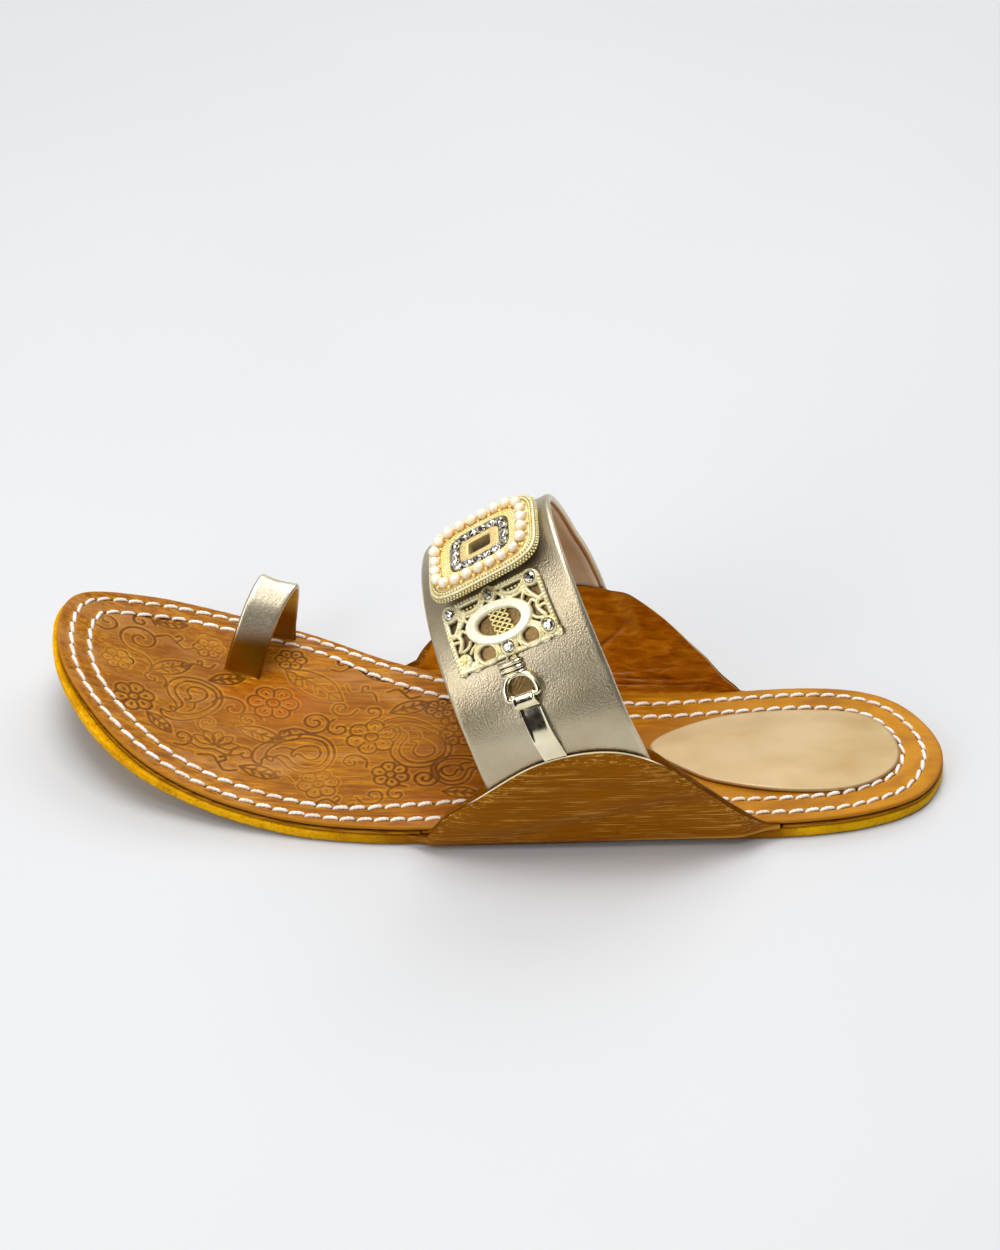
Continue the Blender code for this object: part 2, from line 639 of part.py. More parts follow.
def build_ribbon(name, side):
    """A flat strip folded over the ring's bar, running down the strap to the ear."""
    half = RIBBON_THICK / 2
    low = GAP + half
    radius = RING_WIRE + RIBBON_FOLD_GAP + half
    bar = low + radius
    corners = ((-1, 1), (1, 1), (1, -1), (-1, -1))      # edge, face
    # distance up the strap from the bar, height of the strip's middle
    line = [(-RIBBON_TAIL, low), (0.0, low)]
    for degrees in (-60.0, -30.0, 0.0, 30.0, 60.0):
        angle = math.radians(degrees)
        line.append((radius * math.cos(angle), bar + radius * math.sin(angle)))
    line += [(0.0, bar + radius), (-0.5 * RIBBON_TAIL, bar + radius - half),
             (-RIBBON_TAIL, low + RIBBON_THICK + 1.5 * GAP), (-RIBBON_TAIL - 4 * half, low + half)]
    rings = []
    for k, (up, height) in enumerate(line):
        before, after = line[max(k - 1, 0)], line[min(k + 1, len(line) - 1)]
        run = Vector((after[0] - before[0], after[1] - before[1])).normalized()
        rings.append([over_strap(side, RING_PLACE, edge * RIBBON_WIDTH / 2,
                                 up - run.y * half * face, height + run.x * half * face)
                      for edge, face in corners])
    # the rest follows the strap, each edge to its own place at the ear
    share = RIBBON_WIDTH / 2 / STRAP_BREADTH
    ends = {edge: rim_sweep(side, RIBBON_END_ACROSS + edge * share) for edge in (-1, 1)}
    for k in range(RIBBON_STEPS + 1):
        ring = []
        for edge, face in corners:
            sweep = lerp(RIBBON_FLAT_SWEEP, ends[edge], k / RIBBON_STEPS)
            across = lerp(RIBBON_END_ACROSS, RING_PLACE[1], sweep / RING_PLACE[0])
            point, _, _, out = side_frame(side, sweep, across + edge * share)
            ring.append(point + out * (low - half * face))
        rings.append(ring)
    add_object(name, loft(rings), "trim_gold")


def centre_on_origin():
    """Put the origin at the bottom centre of everything that was built."""
    points = [v.co for item in bpy.data.objects for v in item.data.vertices]
    shift = Vector([-(max(p[i] for p in points) + min(p[i] for p in points)) / 2 for i in range(2)]
                   + [-min(p.z for p in points)])
    for item in bpy.data.objects:
        item.data.transform(Matrix.Translation(shift))


def main():
    for old in list(bpy.data.objects):
        bpy.data.objects.remove(old, do_unlink=True)
    build_sole()
    build_ears()
    build_strap()
    build_toe_loop()
    build_brooch()
    for side, word in ((LATERAL, "lateral"), (MEDIAL, "medial")):
        build_plaque("plaque_" + word, side)
        build_connector("connector_" + word, side)
        build_ring("d_ring_" + word, side)
        build_ribbon("metal_ribbon_" + word, side)
    centre_on_origin()


main()
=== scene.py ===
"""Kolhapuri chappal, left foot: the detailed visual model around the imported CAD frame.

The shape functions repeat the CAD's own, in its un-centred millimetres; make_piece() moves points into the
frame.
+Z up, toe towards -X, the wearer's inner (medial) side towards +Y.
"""
import math

import bmesh
import bpy
import numpy as np
from mathutils import Matrix, Vector


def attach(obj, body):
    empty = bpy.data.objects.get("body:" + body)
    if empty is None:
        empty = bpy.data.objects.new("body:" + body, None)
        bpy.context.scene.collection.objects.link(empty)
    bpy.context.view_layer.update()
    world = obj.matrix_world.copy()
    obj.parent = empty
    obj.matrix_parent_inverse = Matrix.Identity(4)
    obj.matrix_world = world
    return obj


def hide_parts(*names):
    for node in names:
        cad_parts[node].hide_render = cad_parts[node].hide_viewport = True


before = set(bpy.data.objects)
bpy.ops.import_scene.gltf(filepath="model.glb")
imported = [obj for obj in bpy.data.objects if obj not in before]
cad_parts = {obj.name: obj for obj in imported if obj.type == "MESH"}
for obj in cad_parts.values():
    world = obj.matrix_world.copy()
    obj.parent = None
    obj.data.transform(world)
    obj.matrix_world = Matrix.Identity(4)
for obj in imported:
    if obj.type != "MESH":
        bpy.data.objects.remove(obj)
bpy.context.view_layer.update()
NOISE = np.random.default_rng(38)

MM = 0.001
SHIFT = np.array((0.5005, -1.2971, 0.0))    # the CAD is centred on its own box
GAP = 0.3
LATERAL, MEDIAL = -1, 1
SIDES = ((LATERAL, "lateral"), (MEDIAL, "medial"))

# ---- the CAD's driving sizes ------------------------------------------------------------------
OUTSOLE_THICK, MIDSOLE_THICK, INSOLE_THICK = 3.5, 1.1, 1.4
MIDSOLE_INSET, INSOLE_INSET = 0.7, 0.3
TOE_MARGIN = 1.3
TOE_MARGIN_RUN = (-98.0, 26.0)
TOE_SPRING = 23.0
SPRING_START = -45.0
MIDSOLE_Z = OUTSOLE_THICK + GAP
INSOLE_Z = MIDSOLE_Z + MIDSOLE_THICK + GAP
FOOTBED_Z = INSOLE_Z + INSOLE_THICK
OUTLINE = (
    (-130.8, 27.5), (-127.4, 7.2), (-114.5, -12.0), (-96.0, -26.2), (-72.0, -35.2), (-38.0, -40.8),
    (0.0, -41.0), (45.0, -39.8), (86.0, -38.0), (109.0, -33.2), (123.5, -24.5), (129.8, -9.0),
    (125.0, 7.0), (113.0, 18.2), (92.0, 21.6), (50.0, 18.6), (10.0, 21.8), (-27.0, 32.4),
    (-58.0, 47.5), (-88.0, 53.2), (-112.5, 50.4), (-126.4, 42.6),
)
PAD_OUTLINE = (
    (44.5, -6.7), (56.0, -18.6), (67.0, -23.4), (84.0, -26.3), (101.5, -25.1), (113.0, -18.0),
    (116.7, -8.6), (113.4, 2.2), (104.0, 8.4), (83.0, 9.2), (61.0, 4.8),
)
EAR_THICK, EAR_TAB, EAR_BEND, EAR_LEAN = 1.1, 7.0, 1.8, 0.10
EAR_SPAN = {LATERAL: (-21.0, 80.0), MEDIAL: (-26.0, 74.0)}
# the plain arch of the ear's top edge: share of the ear's length, z
EAR_TOP = ((0.00, 3.6), (0.07, 15.0), (0.20, 27.0), (0.33, 36.8), (0.47, 41.0),
           (0.60, 39.6), (0.75, 30.5), (0.88, 17.0), (1.00, 4.6))
STRAP_THICK, STRAP_FOOT_Z, STRAP_LEG, STRAP_BREADTH = 2.3, 40.0, 20.0, 45.0
STRAP_BLEND = (1.2, 24.0)
# y of the arch's middle, half span, rise, x at the feet, lean, curve of the lean, skew, z of the hidden ends
STRAP_EDGES = {
    "front": (-7.2, 40.8, 27.0, -9.3, 0.33, 0.0042, -0.057, 16.0),
    "rear":  (-11.5, 37.8, 54.8,  36.6, 0.37, 0.0007, -0.120, 29.0),
}
POCKET_RAMP, POCKET_MARGIN = 8.0, 2.5
EAR_HEM_DRAWN = (1.2, 2.6)                      # lower edge at the front tip and at the rear tip
EAR_RISE_DRAWN, EAR_REACH = 0.3, 4.5
# how the drawn top edge differs from the plain arch: rise, x of the middle, half length
EAR_TRIM = {LATERAL: ((1.6, 4.0, 15.0), (1.0, 27.0, 12.0), (-3.6, 61.0, 11.0)),
            MEDIAL: ((-0.5, 58.0, 8.0), (1.8, 71.0, 4.0))}
POCKET_SLOPE = ((0.6, 20.0), (0.4, 20.0))       # drawn margin and ramp before and behind the strap
LOOP_WIDTH, LOOP_THICK, LOOP_SOFT = 11.0, 1.8, 0.75
LOOP_MIDDLE, LOOP_ACROSS, LOOP_UP = (-71.0, 34.9), (0.425, 0.905, 0.0), (0.15, 0.0, 1.0)
# middle line of the toe loop: across, up, and the leather's yaw and dip in degrees
LOOP_PATH = (
    (-12.0, 0.0, -12.0, 9.0), (-10.3, 5.0, -5.0, 9.0), (-8.0, 10.0, 2.0, 8.0), (-5.3, 15.0, 4.0, 8.0),
    (-2.1, 19.0, 3.0, 11.0), (1.4, 21.4, 0.0, 16.0), (4.8, 22.2, -1.0, 19.0), (7.6, 20.8, -3.0, 16.0),
    (9.0, 16.9, -5.0, 12.0), (9.4, 11.5, -8.0, 10.0), (9.9, 5.0, -10.0, 9.0), (10.9, 0.0, -12.0, 9.0),
)
BROOCH_CENTRE, BROOCH_PITCH, BROOCH_ROLL, BROOCH_TURN = (-3.0, -13.8, 83.2), 34.0, 5.0, -0.9
PLAQUE_WIDTH, PLAQUE_LENGTH, PLAQUE_LIFT = 30.4, 18.6, 0.4
# places on the strap's face: degrees up from the foot, share of the breadth from the front edge
PLAQUE_PLACE, CONNECTOR_PLACE, RING_PLACE = (54.1, 0.476), (38.3, 0.445), (26.4, 0.456)
CONNECTOR_SIZE = (6.2, 3.4, 2.2)
RING_WIRE, RING_SIZE, RING_BAR_END, RING_ARC_POWER, RING_BAR_POWER = 0.55, (8.7, 6.1), 1.3, 2.3, 5.0
RIBBON_WIDTH, RIBBON_THICK, RIBBON_TAIL, RIBBON_FOLD_GAP = 6.6, 0.5, 4.4, 0.4
RIBBON_FLAT_SWEEP, RIBBON_END_ACROSS = 18.0, 0.483
# how the drawn trim differs from the CAD's: the connector's drop and length, the wire, the ribbon's bow
CONNECTOR_DROP, CONNECTOR_DRAWN, RING_WIRE_DRAWN, RIBBON_RISE = -0.9, 1.32, 0.86, 0.80
CONNECTOR_STEPS = 60


# ---- helpers ----------------------------------------------------------------------------------
def smooth(value):
    value = np.clip(value, 0.0, 1.0)
    return value * value * (3.0 - 2.0 * value)


def hump(away, half):
    """1 at no distance, falling off softly over about half."""
    return np.exp(-(away / half) ** 2)


def lerp(a, b, share):
    return a + (b - a) * share


def unit(vector):
    return vector / np.linalg.norm(vector)


def unit_rows(rows):
    return rows / np.linalg.norm(rows, axis=1)[:, None]


def circle(count):
    """Angles evenly spaced round a full turn."""
    return np.linspace(0.0, 2.0 * math.pi, count, endpoint=False)


def run_along(curve):
    """Distance from a curve's first point to each of its points."""
    return np.concatenate(([0.0], np.cumsum(np.linalg.norm(np.diff(curve, axis=0), axis=1))))


def spread(at, places, rows):
    """Rows interpolated at new places."""
    return np.column_stack([np.interp(at, places, rows[:, i]) for i in range(rows.shape[1])])


def place_at(distance, run, loop):
    """Point of a closed flat line at a distance along it; the line repeats its first point at its end."""
    return np.array([np.interp(distance % run[-1], run, loop[:, i]) for i in range(2)])


def curve_through(points, steps, closed=False):
    """Catmull-Rom curve through the points, with a number of steps in each span."""
    rows = [np.array(p, dtype=float) for p in points]
    count = len(rows)
    out = []
    for i in range(count if closed else count - 1):
        if closed:
            p0, p1, p2, p3 = (rows[(i + k) % count] for k in (-1, 0, 1, 2))
        else:
            p1, p2 = rows[i], rows[i + 1]
            p0 = rows[i - 1] if i > 0 else 2 * p1 - p2
            p3 = rows[i + 2] if i + 2 < count else 2 * p2 - p1
        for k in range(steps):
            t = k / steps
            out.append(0.5 * (2 * p1 + (p2 - p0) * t + (2 * p0 - 5 * p1 + 4 * p2 - p3) * t ** 2
                              + (3 * p1 - p0 - 3 * p2 + p3) * t ** 3))
    if not closed:
        out.append(rows[-1])
    return np.array(out)


def resample(curve, step, closed=False):
    """Points at even distances along a curve."""
    if closed:
        curve = np.vstack((curve, curve[:1]))
    run = run_along(curve)
    at = np.linspace(0.0, run[-1], max(int(round(run[-1] / step)), 2) + 1)
    if closed:
        at = at[:-1]
    return spread(at, run, curve)


def make_piece(name, verts, faces, paint, slot, nodes=(), attrs=None, angle=None, flat=False, body="root"):
    """One visual piece from un-centred millimetres, riding on its body."""
    mesh = bpy.data.meshes.new(name)
    mesh.from_pydata(((np.asarray(verts, dtype=float) + SHIFT) * MM).tolist(), [], faces)
    bm = bmesh.new()
    bm.from_mesh(mesh)
    bmesh.ops.recalc_face_normals(bm, faces=bm.faces)
    bm.to_mesh(mesh)
    bm.free()
    for key, values in (attrs or {}).items():
        layer = mesh.attributes.new(key, "FLOAT", "POINT")
        layer.data.foreach_set("value", np.asarray(values, dtype=np.float32))
    if not flat:
        mesh.shade_smooth()
        if angle:
            mesh.set_sharp_from_angle(angle=math.radians(angle))
    mesh.materials.append(paint)
    piece = bpy.data.objects.new(name, mesh)
    bpy.context.scene.collection.objects.link(piece)
    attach(piece, body)
    if nodes:
        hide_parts(*nodes)
    return piece


def skin(rows, cols, closed=False):
    """Quads between closed rows of vertices; closed joins the last row to the first."""
    faces = []
    for i in range(rows if closed else rows - 1):
        n = (i + 1) % rows
        for k in range(cols):
            m = (k + 1) % cols
            faces.append((i * cols + k, i * cols + m, n * cols + m, n * cols + k))
    return faces


def tube_rings(rings):
    """Skin and cap a stack of equal closed rings (rows, points, 3)."""
    rows, cols = len(rings), len(rings[0])
    caps = [tuple(range(cols)), tuple(range(rows * cols - 1, (rows - 1) * cols - 1, -1))]
    return np.reshape(rings, (-1, 3)), skin(rows, cols) + caps


class Joined:
    """Gathers many small shapes into one mesh."""

    def __init__(self):
        self.verts, self.faces, self.count = [], [], 0

    def add(self, verts, faces):
        verts = np.asarray(verts, dtype=float)
        self.verts.append(verts)
        self.faces += [tuple(i + self.count for i in face) for face in faces]
        self.count += len(verts)

    def done(self):
        return np.vstack(self.verts), self.faces


# ---- materials --------------------------------------------------------------------------------
def tone(red, green, blue):
    """Linear colour from display values out of 255."""
    def linear(v):
        v /= 255.0
        return v / 12.92 if v <= 0.04045 else ((v + 0.055) / 1.055) ** 2.4
    return (linear(red), linear(green), linear(blue), 1.0)


WARM_GLOSS = (1.0, 0.70, 0.28, 1.0)
GRAIN_RANGE = (0.3, 0.7)        # where most of a noise's values lie


class Paint:
    """Builds one node material; textures are in millimetres on the object."""

    def __init__(self, name, specular, warm=False, **shader):
        self.material = bpy.data.materials.new(name)
        self.material.use_nodes = True
        self.tree = self.material.node_tree
        self.shader = self.tree.nodes["Principled BSDF"]
        self.set("Specular IOR Level", specular)
        if warm:
            self.set("Specular Tint", WARM_GLOSS)
        for key, value in shader.items():
            self.set(key.replace("_", " "), value)
        self.space = self.add("TexCoord").outputs["Object"]

    def set(self, key, value):
        self.feed(self.shader.inputs[key], value)

    def add(self, kind, inputs=None, **settings):
        node = self.tree.nodes.new("ShaderNode" + kind)
        for key, value in settings.items():
            setattr(node, key, value)
        for key, value in (inputs or {}).items():
            self.feed(node.inputs[key], value)
        return node

    def feed(self, socket, value):
        if isinstance(value, bpy.types.NodeSocket):
            self.tree.links.new(value, socket)
        else:
            socket.default_value = value

    def stretch(self, scale):
        return self.add("Mapping", {"Vector": self.space, "Scale": [s / MM for s in scale]}).outputs[0]

    def noise(self, scale, detail=3.0, rough=0.55, stretch=(1.0, 1.0, 1.0), distort=0.0):
        """Noise whose features are about 1 / scale millimetres."""
        return self.add("TexNoise", {"Vector": self.stretch(stretch), "Scale": scale, "Detail": detail,
                                     "Roughness": rough, "Distortion": distort}).outputs[0]

    def cells(self, scale):
        return self.add("TexVoronoi", {"Vector": self.stretch((1.0, 1.0, 1.0)), "Scale": scale},
                        feature="F1").outputs["Distance"]

    def attr(self, name):
        return self.add("Attribute", attribute_name=name).outputs["Fac"]

    def math(self, operation, a, b):
        return self.add("Math", {0: a, 1: b}, operation=operation).outputs[0]

    def span(self, value, low, high, to_low=0.0, to_high=1.0):
        return self.add("MapRange", {"Value": value, "From Min": low, "From Max": high,
                                     "To Min": to_low, "To Max": to_high}, clamp=True).outputs[0]

    def ramp(self, value, *stops):
        """Colour along a value; a stop is (place, red, green, blue)."""
        node = self.add("ValToRGB", {"Fac": value})
        elements = node.color_ramp.elements
        while len(elements) < len(stops):
            elements.new(0.5)
        for element, (at, *shade) in zip(elements, stops):
            element.position, element.color = at, tone(*shade)
        return node.outputs[0]

    def coat(self, colour, *layers):
        """Colours laid over one another. A layer is (mask, share, red, green, blue) with a vertex
        attribute's name or a socket as the mask, or (grain, low, high, share, red, green, blue) with a
        socket or a noise's settings as the grain and the span of it in which the colour comes in."""
        for mask, *span, share, red, green, blue in layers:
            mask = self.attr(mask) if isinstance(mask, str) else mask
            mask = self.noise(*mask) if isinstance(mask, tuple) else mask
            if span:
                mask = self.span(mask, *span, 0.0, share)
            elif share < 1.0:
                mask = self.math("MULTIPLY", mask, share)
            inputs = {0: mask, 6: colour, 7: tone(red, green, blue)}
            colour = self.add("Mix", inputs, data_type="RGBA").outputs[2]
        return colour

    def bump(self, height, strength, depth_mm, normal=None):
        inputs = {"Height": height, "Strength": strength, "Distance": depth_mm * MM}
        if normal is not None:
            inputs["Normal"] = normal
        return self.add("Bump", inputs).outputs[0]

    def rough(self, grain, low, high):
        return self.span(grain, *GRAIN_RANGE, low, high)

    def finish(self, colour, roughness, normal=None):
        for key, value in (("Base Color", colour), ("Roughness", roughness), ("Normal", normal)):
            if value is not None:
                self.set(key, value)
        return self.material


def insole_paint():
    p = Paint("insole_leather_fine", 0.26, warm=True)
    streak = p.noise(0.75, 6.0, 0.72, (0.09, 1.0, 1.0), 0.5)
    groove = p.attr("groove")
    # painted highlight: a lighter line on the shoulders beside the pressed lines, where the relief would
    # catch the light
    groove_shoulder_highlight = p.math("MULTIPLY", p.span(groove, 0.02, 0.14), p.span(groove, 0.62, 0.30))
    # the hole mask paints shade in the stitch holes, the gap mask paints shade along the bottom of the
    # footbed's edge, and the stitch channels within the groove mask paint shade beside the threads
    colour = p.coat(
        p.ramp(streak, (0.30, 102, 51, 0), (0.47, 153, 88, 0), (0.66, 200, 136, 27)),
        ((0.10, 3.0, 0.6, (0.25, 1.0, 1.0), 0.8), 0.50, 0.66, 0.55, 184, 130, 78),
        ("heel", 0.75, 200, 136, 22),
        ((0.055, 3.0, 0.6, (0.6, 1.0, 1.0), 0.6), 0.44, 0.62, 0.50, 126, 64, 0), ("burn", 0.50, 154, 74, 0),
        ("shine", 0.80, 168, 81, 0), (groove_shoulder_highlight, 0.34, 220, 156, 58), (groove, 0.22, 0.90, 0.88, 88, 42, 0),
        ("edge", 1.0, 176, 112, 22), ("hole", 1.0, 48, 22, 6), ("gap", 1.0, 34, 16, 2))
    glossy = p.math("SUBTRACT", p.rough(streak, 0.30, 0.50), p.math("MULTIPLY", p.attr("shine"), 0.10))
    pores = p.bump(p.noise(3.0, 2.0, 0.6), 0.25, 0.10)
    return p.finish(colour, glossy, p.bump(streak, 0.40, 0.25, pores))


def ear_outer_paint():
    p = Paint("ear_outer_fine", 0.06, warm=True)
    brush = p.noise(0.8, 6.0, 0.72, (0.05, 0.3, 1.6), 0.25)
    broad = p.noise(0.10, 3.0, 0.5, (0.4, 1.0, 1.2), 0.8)
    scratch = p.noise(1.8, 4.0, 0.6, (0.030, 0.3, 2.4), 0.10)
    marks = p.math("MULTIPLY", p.span(scratch, 0.575, 0.615), p.span(broad, 0.38, 0.50))
    fleck = p.noise(0.9, 4.0, 0.7, (0.5, 1.0, 1.6), 0.6)
    worn = p.math("MULTIPLY", p.attr("rub"), p.span(fleck, 0.56, 0.64))
    # the base mask paints shade along the foot of the ear
    colour = p.coat(
        p.ramp(brush, (0.30, 124, 69, 0), (0.50, 146, 84, 0), (0.70, 168, 102, 4)),
        (broad, 0.45, 0.70, 0.5, 140, 82, 0), (marks, 0.80, 236, 178, 80), (worn, 1.0, 240, 190, 90),
        ("base", 0.92, 64, 34, 0), ("hem", 0.90, 216, 150, 54), ("rim", 1.0, 84, 48, 6),
        ("cut", 1.0, 255, 240, 196))
    height = p.math("ADD", brush, p.math("MULTIPLY", marks, 0.5))
    return p.finish(colour, p.rough(brush, 0.36, 0.56), p.bump(height, 0.35, 0.18))


def ear_inner_paint():
    p = Paint("ear_inner_fine", 0.30, warm=True)
    grain = p.noise(0.5, 5.0, 0.6, (0.35, 0.6, 1.0), 0.6)
    # the two crease layers paint shade in the hollows of the folds and a highlight along their ridges
    colour = p.coat(
        p.ramp(grain, (0.30, 150, 79, 0), (0.50, 186, 107, 3), (0.72, 220, 145, 28)),
        ((0.07, 3.0, 0.5, (0.6, 1.0, 1.0), 0.5), 0.42, 0.66, 0.5, 228, 152, 30), ("fold", 1.0, 112, 54, 0),
        ("crest_highlight", 1.0, 250, 188, 112), ("rim", 1.0, 92, 62, 14), ("cut", 1.0, 226, 196, 146))
    pores = p.bump(p.noise(2.6, 2.0, 0.6), 0.25, 0.1)
    return p.finish(colour, p.rough(grain, 0.30, 0.48), p.bump(grain, 0.25, 0.3, pores))


def strap_paint():
    p = Paint("strap_champagne_fine", 0.5, Metallic=0.9)
    pebble = p.cells(2.1)
    swell = p.noise(2.2, 3.0, 0.6)
    colour = p.coat(
        p.ramp(p.noise(0.06, 3.0, 0.5), (0.35, 193, 178, 147), (0.65, 207, 194, 167)),
        (pebble, 0.38, 0.70, 0.12, 150, 130, 96), ("shade", 0.88, 126, 94, 44), ("edge", 0.55, 240, 228, 202))
    height = p.math("SUBTRACT", p.math("MULTIPLY", swell, 0.3), pebble)
    return p.finish(colour, p.rough(swell, 0.29, 0.38), p.bump(height, 0.56, 0.14))


def loop_paint():
    p = Paint("toe_loop_champagne", 0.5)
    grain = p.noise(1.3, 4.0, 0.6)
    # the foot mask paints the brown insole's reflection over the lower part of the band
    colour = p.coat(
        p.ramp(p.noise(0.09, 3.0, 0.5), (0.35, 240, 228, 198), (0.65, 250, 240, 214)),
        ("inside", 1.0, 236, 214, 104), ("foot", 1.0, 152, 98, 6), ("edge", 0.5, 112, 84, 36))
    p.set("Metallic", p.span(p.attr("inside"), 0.0, 1.0, 0.9, 0.1))
    height = p.math("SUBTRACT", grain, p.math("MULTIPLY", p.cells(1.7), 0.5))
    return p.finish(colour, p.rough(grain, 0.30, 0.42), p.bump(height, 0.35, 0.12))


def gold_paint(name, bright, deep, rough, cavity=True, texture=2.2, depth=0.06, metal=1.0):
    """Cast or polished metal; the cavity marks warm it, and the deep mark paints shade into its hollows."""
    p = Paint(name, 0.5, Metallic=metal)
    cast = p.noise(texture, 3.0, 0.6)
    colour = p.ramp(p.noise(0.25, 3.0, 0.5), (0.35, *deep), (0.65, *bright))
    if cavity:
        colour = p.coat(colour, ("warm", 1.0, 254, 222, 148))
        if metal < 1.0:
            p.set("Metallic", p.span(p.attr("pale"), 0.0, 1.0, metal, 0.15))
            colour = p.coat(colour, ((1.5, 2.0, 0.5), 0.60, 0.68, 0.55, 126, 98, 44))
        # deep: painted shade in the hollows; pale: the plain ring's own lighter colour
        colour = p.coat(colour, ("deep", 1.0, 80, 58, 20), ("pale", 1.0, 255, 251, 226))
    return p.finish(colour, p.rough(cast, rough, rough + 0.12), p.bump(cast, 0.35, depth))


def plain_paint(name, specular, grain, stops, rough, bump, layers=(), tint=None, warm=False, **shader):
    """One noise for the roughness and the relief, and for the colour too unless that has its own, tint."""
    p = Paint(name, specular, warm, **shader)
    grain = p.noise(*grain)
    colour = p.coat(p.ramp(p.noise(*tint) if tint else grain, *stops), *layers)
    return p.finish(colour, p.rough(grain, *rough), p.bump(grain, *bump))


def outsole_paint():
    return plain_paint(
        "outsole_leather_fine", 0.10, (1.3, 5.0, 0.7, (0.20, 0.20, 1.4), 0.4),
        ((0.26, 206, 138, 0), (0.44, 246, 176, 2), (0.70, 255, 204, 22)), (0.50, 0.72), (0.6, 0.30),
        (((0.12, 3.0, 0.6), 0.48, 0.66, 0.55, 196, 126, 0), ((1.1, 3.0, 0.6), 0.56, 0.68, 0.60, 140, 90, 4),
         ("heel", 0.40, 222, 180, 6), ("low", 1.0, 84, 58, 6), ("dark", 1.0, 150, 92, 6)), warm=True)


def midsole_paint():
    return plain_paint(
        "midsole_leather_fine", 0.12, (1.2, 4.0, 0.6, (0.12, 0.12, 2.2), 0.4),
        ((0.32, 134, 78, 6), (0.52, 182, 116, 18), (0.72, 208, 144, 40)), (0.5, 0.7), (0.8, 0.4),
        # the gap mask paints shade at the joins with the layers above and below
        (("gap", 1.0, 34, 16, 2),), warm=True)


def lining_paint():
    return plain_paint(
        "strap_lining", 0.4, (1.6, 3.0, 0.6, (0.5, 0.5, 1.0)), ((0.35, 206, 182, 146), (0.65, 228, 206, 170)),
        (0.42, 0.58), (0.3, 0.12), (("cut", 1.0, 240, 226, 200),), tint=(0.07, 3.0, 0.5))


def pad_paint():
    return plain_paint(
        "heel_pad_champagne", 0.35, (1.8, 3.0, 0.6), ((0.35, 178, 149, 98), (0.66, 197, 171, 128)),
        (0.34, 0.48), (0.25, 0.10),
        # the edge mask paints contact shade along the cushion's lower rim
        (((0.5, 2.0, 0.5), 0.72, 0.76, 0.6, 196, 164, 112), ("edge", 1.0, 160, 112, 60)),
        tint=(0.06, 3.0, 0.5, (0.6, 1.0, 1.0)), Metallic=0.25)


def thread_paint():
    return plain_paint("thread_white", 0.35, (6.0, 3.0, 0.6), ((0.35, 236, 222, 208), (0.62, 252, 248, 242)),
                       (0.55, 0.75), (0.5, 0.08), tint=(0.25, 3.0, 0.5))


def pearl_paint():
    # the under mask paints the gold plate's warm reflection on the pearls' lower halves
    return plain_paint("pearl_cream", 0.8, (0.5, 3.0, 0.5), ((0.38, 255, 240, 206), (0.62, 255, 250, 232)),
                       (0.18, 0.28), (0.15, 0.05), (("under", 0.75, 246, 192, 100),),
                       Coat_Weight=1.0, Coat_Roughness=0.08)


def crystal_paint():
    # the colour runs in patches from dark grey to near white: painted dark and bright reflections on the
    # facets
    stops = (0.42, 96, 92, 84), (0.50, 226, 222, 214), (0.60, 255, 254, 250)
    return plain_paint("crystal_clear", 0.8, (1.1, 2.0, 0.5), stops, (0.03, 0.08), (0.1, 0.03), Metallic=0.9)


def enamel_paint():
    return plain_paint("enamel_amber", 0.6, (0.9, 3.0, 0.6), ((0.35, 252, 212, 120), (0.65, 255, 240, 174)),
                       (0.22, 0.36), (0.4, 0.12), Metallic=0.35)


# ---- sole -------------------------------------------------------------------------------------
def spring(x):
    run = SPRING_START - OUTLINE[0][0]
    return TOE_SPRING * (np.clip(SPRING_START - np.asarray(x), 0.0, None) / run) ** 2


def inward(points):
    """Unit vectors from a closed outline towards its inside."""
    along = unit_rows(np.roll(points, -1, axis=0) - np.roll(points, 1, axis=0))
    return np.column_stack((-along[:, 1], along[:, 0]))


def inset_curve(points, inset):
    """Move a closed outline inwards, a little more round the toe."""
    start, run = TOE_MARGIN_RUN
    margin = inset + TOE_MARGIN * smooth((start - points[:, 0]) / run)
    return points + inward(points) * margin[:, None]


OUTLINE_CURVE = curve_through(OUTLINE, 32, closed=True)


def side_lines(curve):
    front, back = curve[:, 0].argmin(), curve[:, 0].argmax()
    count = len(curve)
    outer = [curve[(front + k) % count] for k in range((back - front) % count + 1)]
    inner = [curve[(back + k) % count] for k in range((front - back) % count + 1)][::-1]
    return {LATERAL: np.array(outer), MEDIAL: np.array(inner)}


SOLE_SIDES = side_lines(OUTLINE_CURVE)


def edge_y(side, x, lines=SOLE_SIDES):
    return np.interp(x, lines[side][:, 0], lines[side][:, 1])


FANS = (-88.0, 92.0)            # x of the middle line's ends, where the spokes fan out
FINE_END = 12.0                 # the forefoot has finer spokes than the heel
EDGE_WAVES = ((9, 0.4, 0.5), (23, 1.9, 0.3), (61, 4.0, 0.2))    # waves round the edge, phase, share


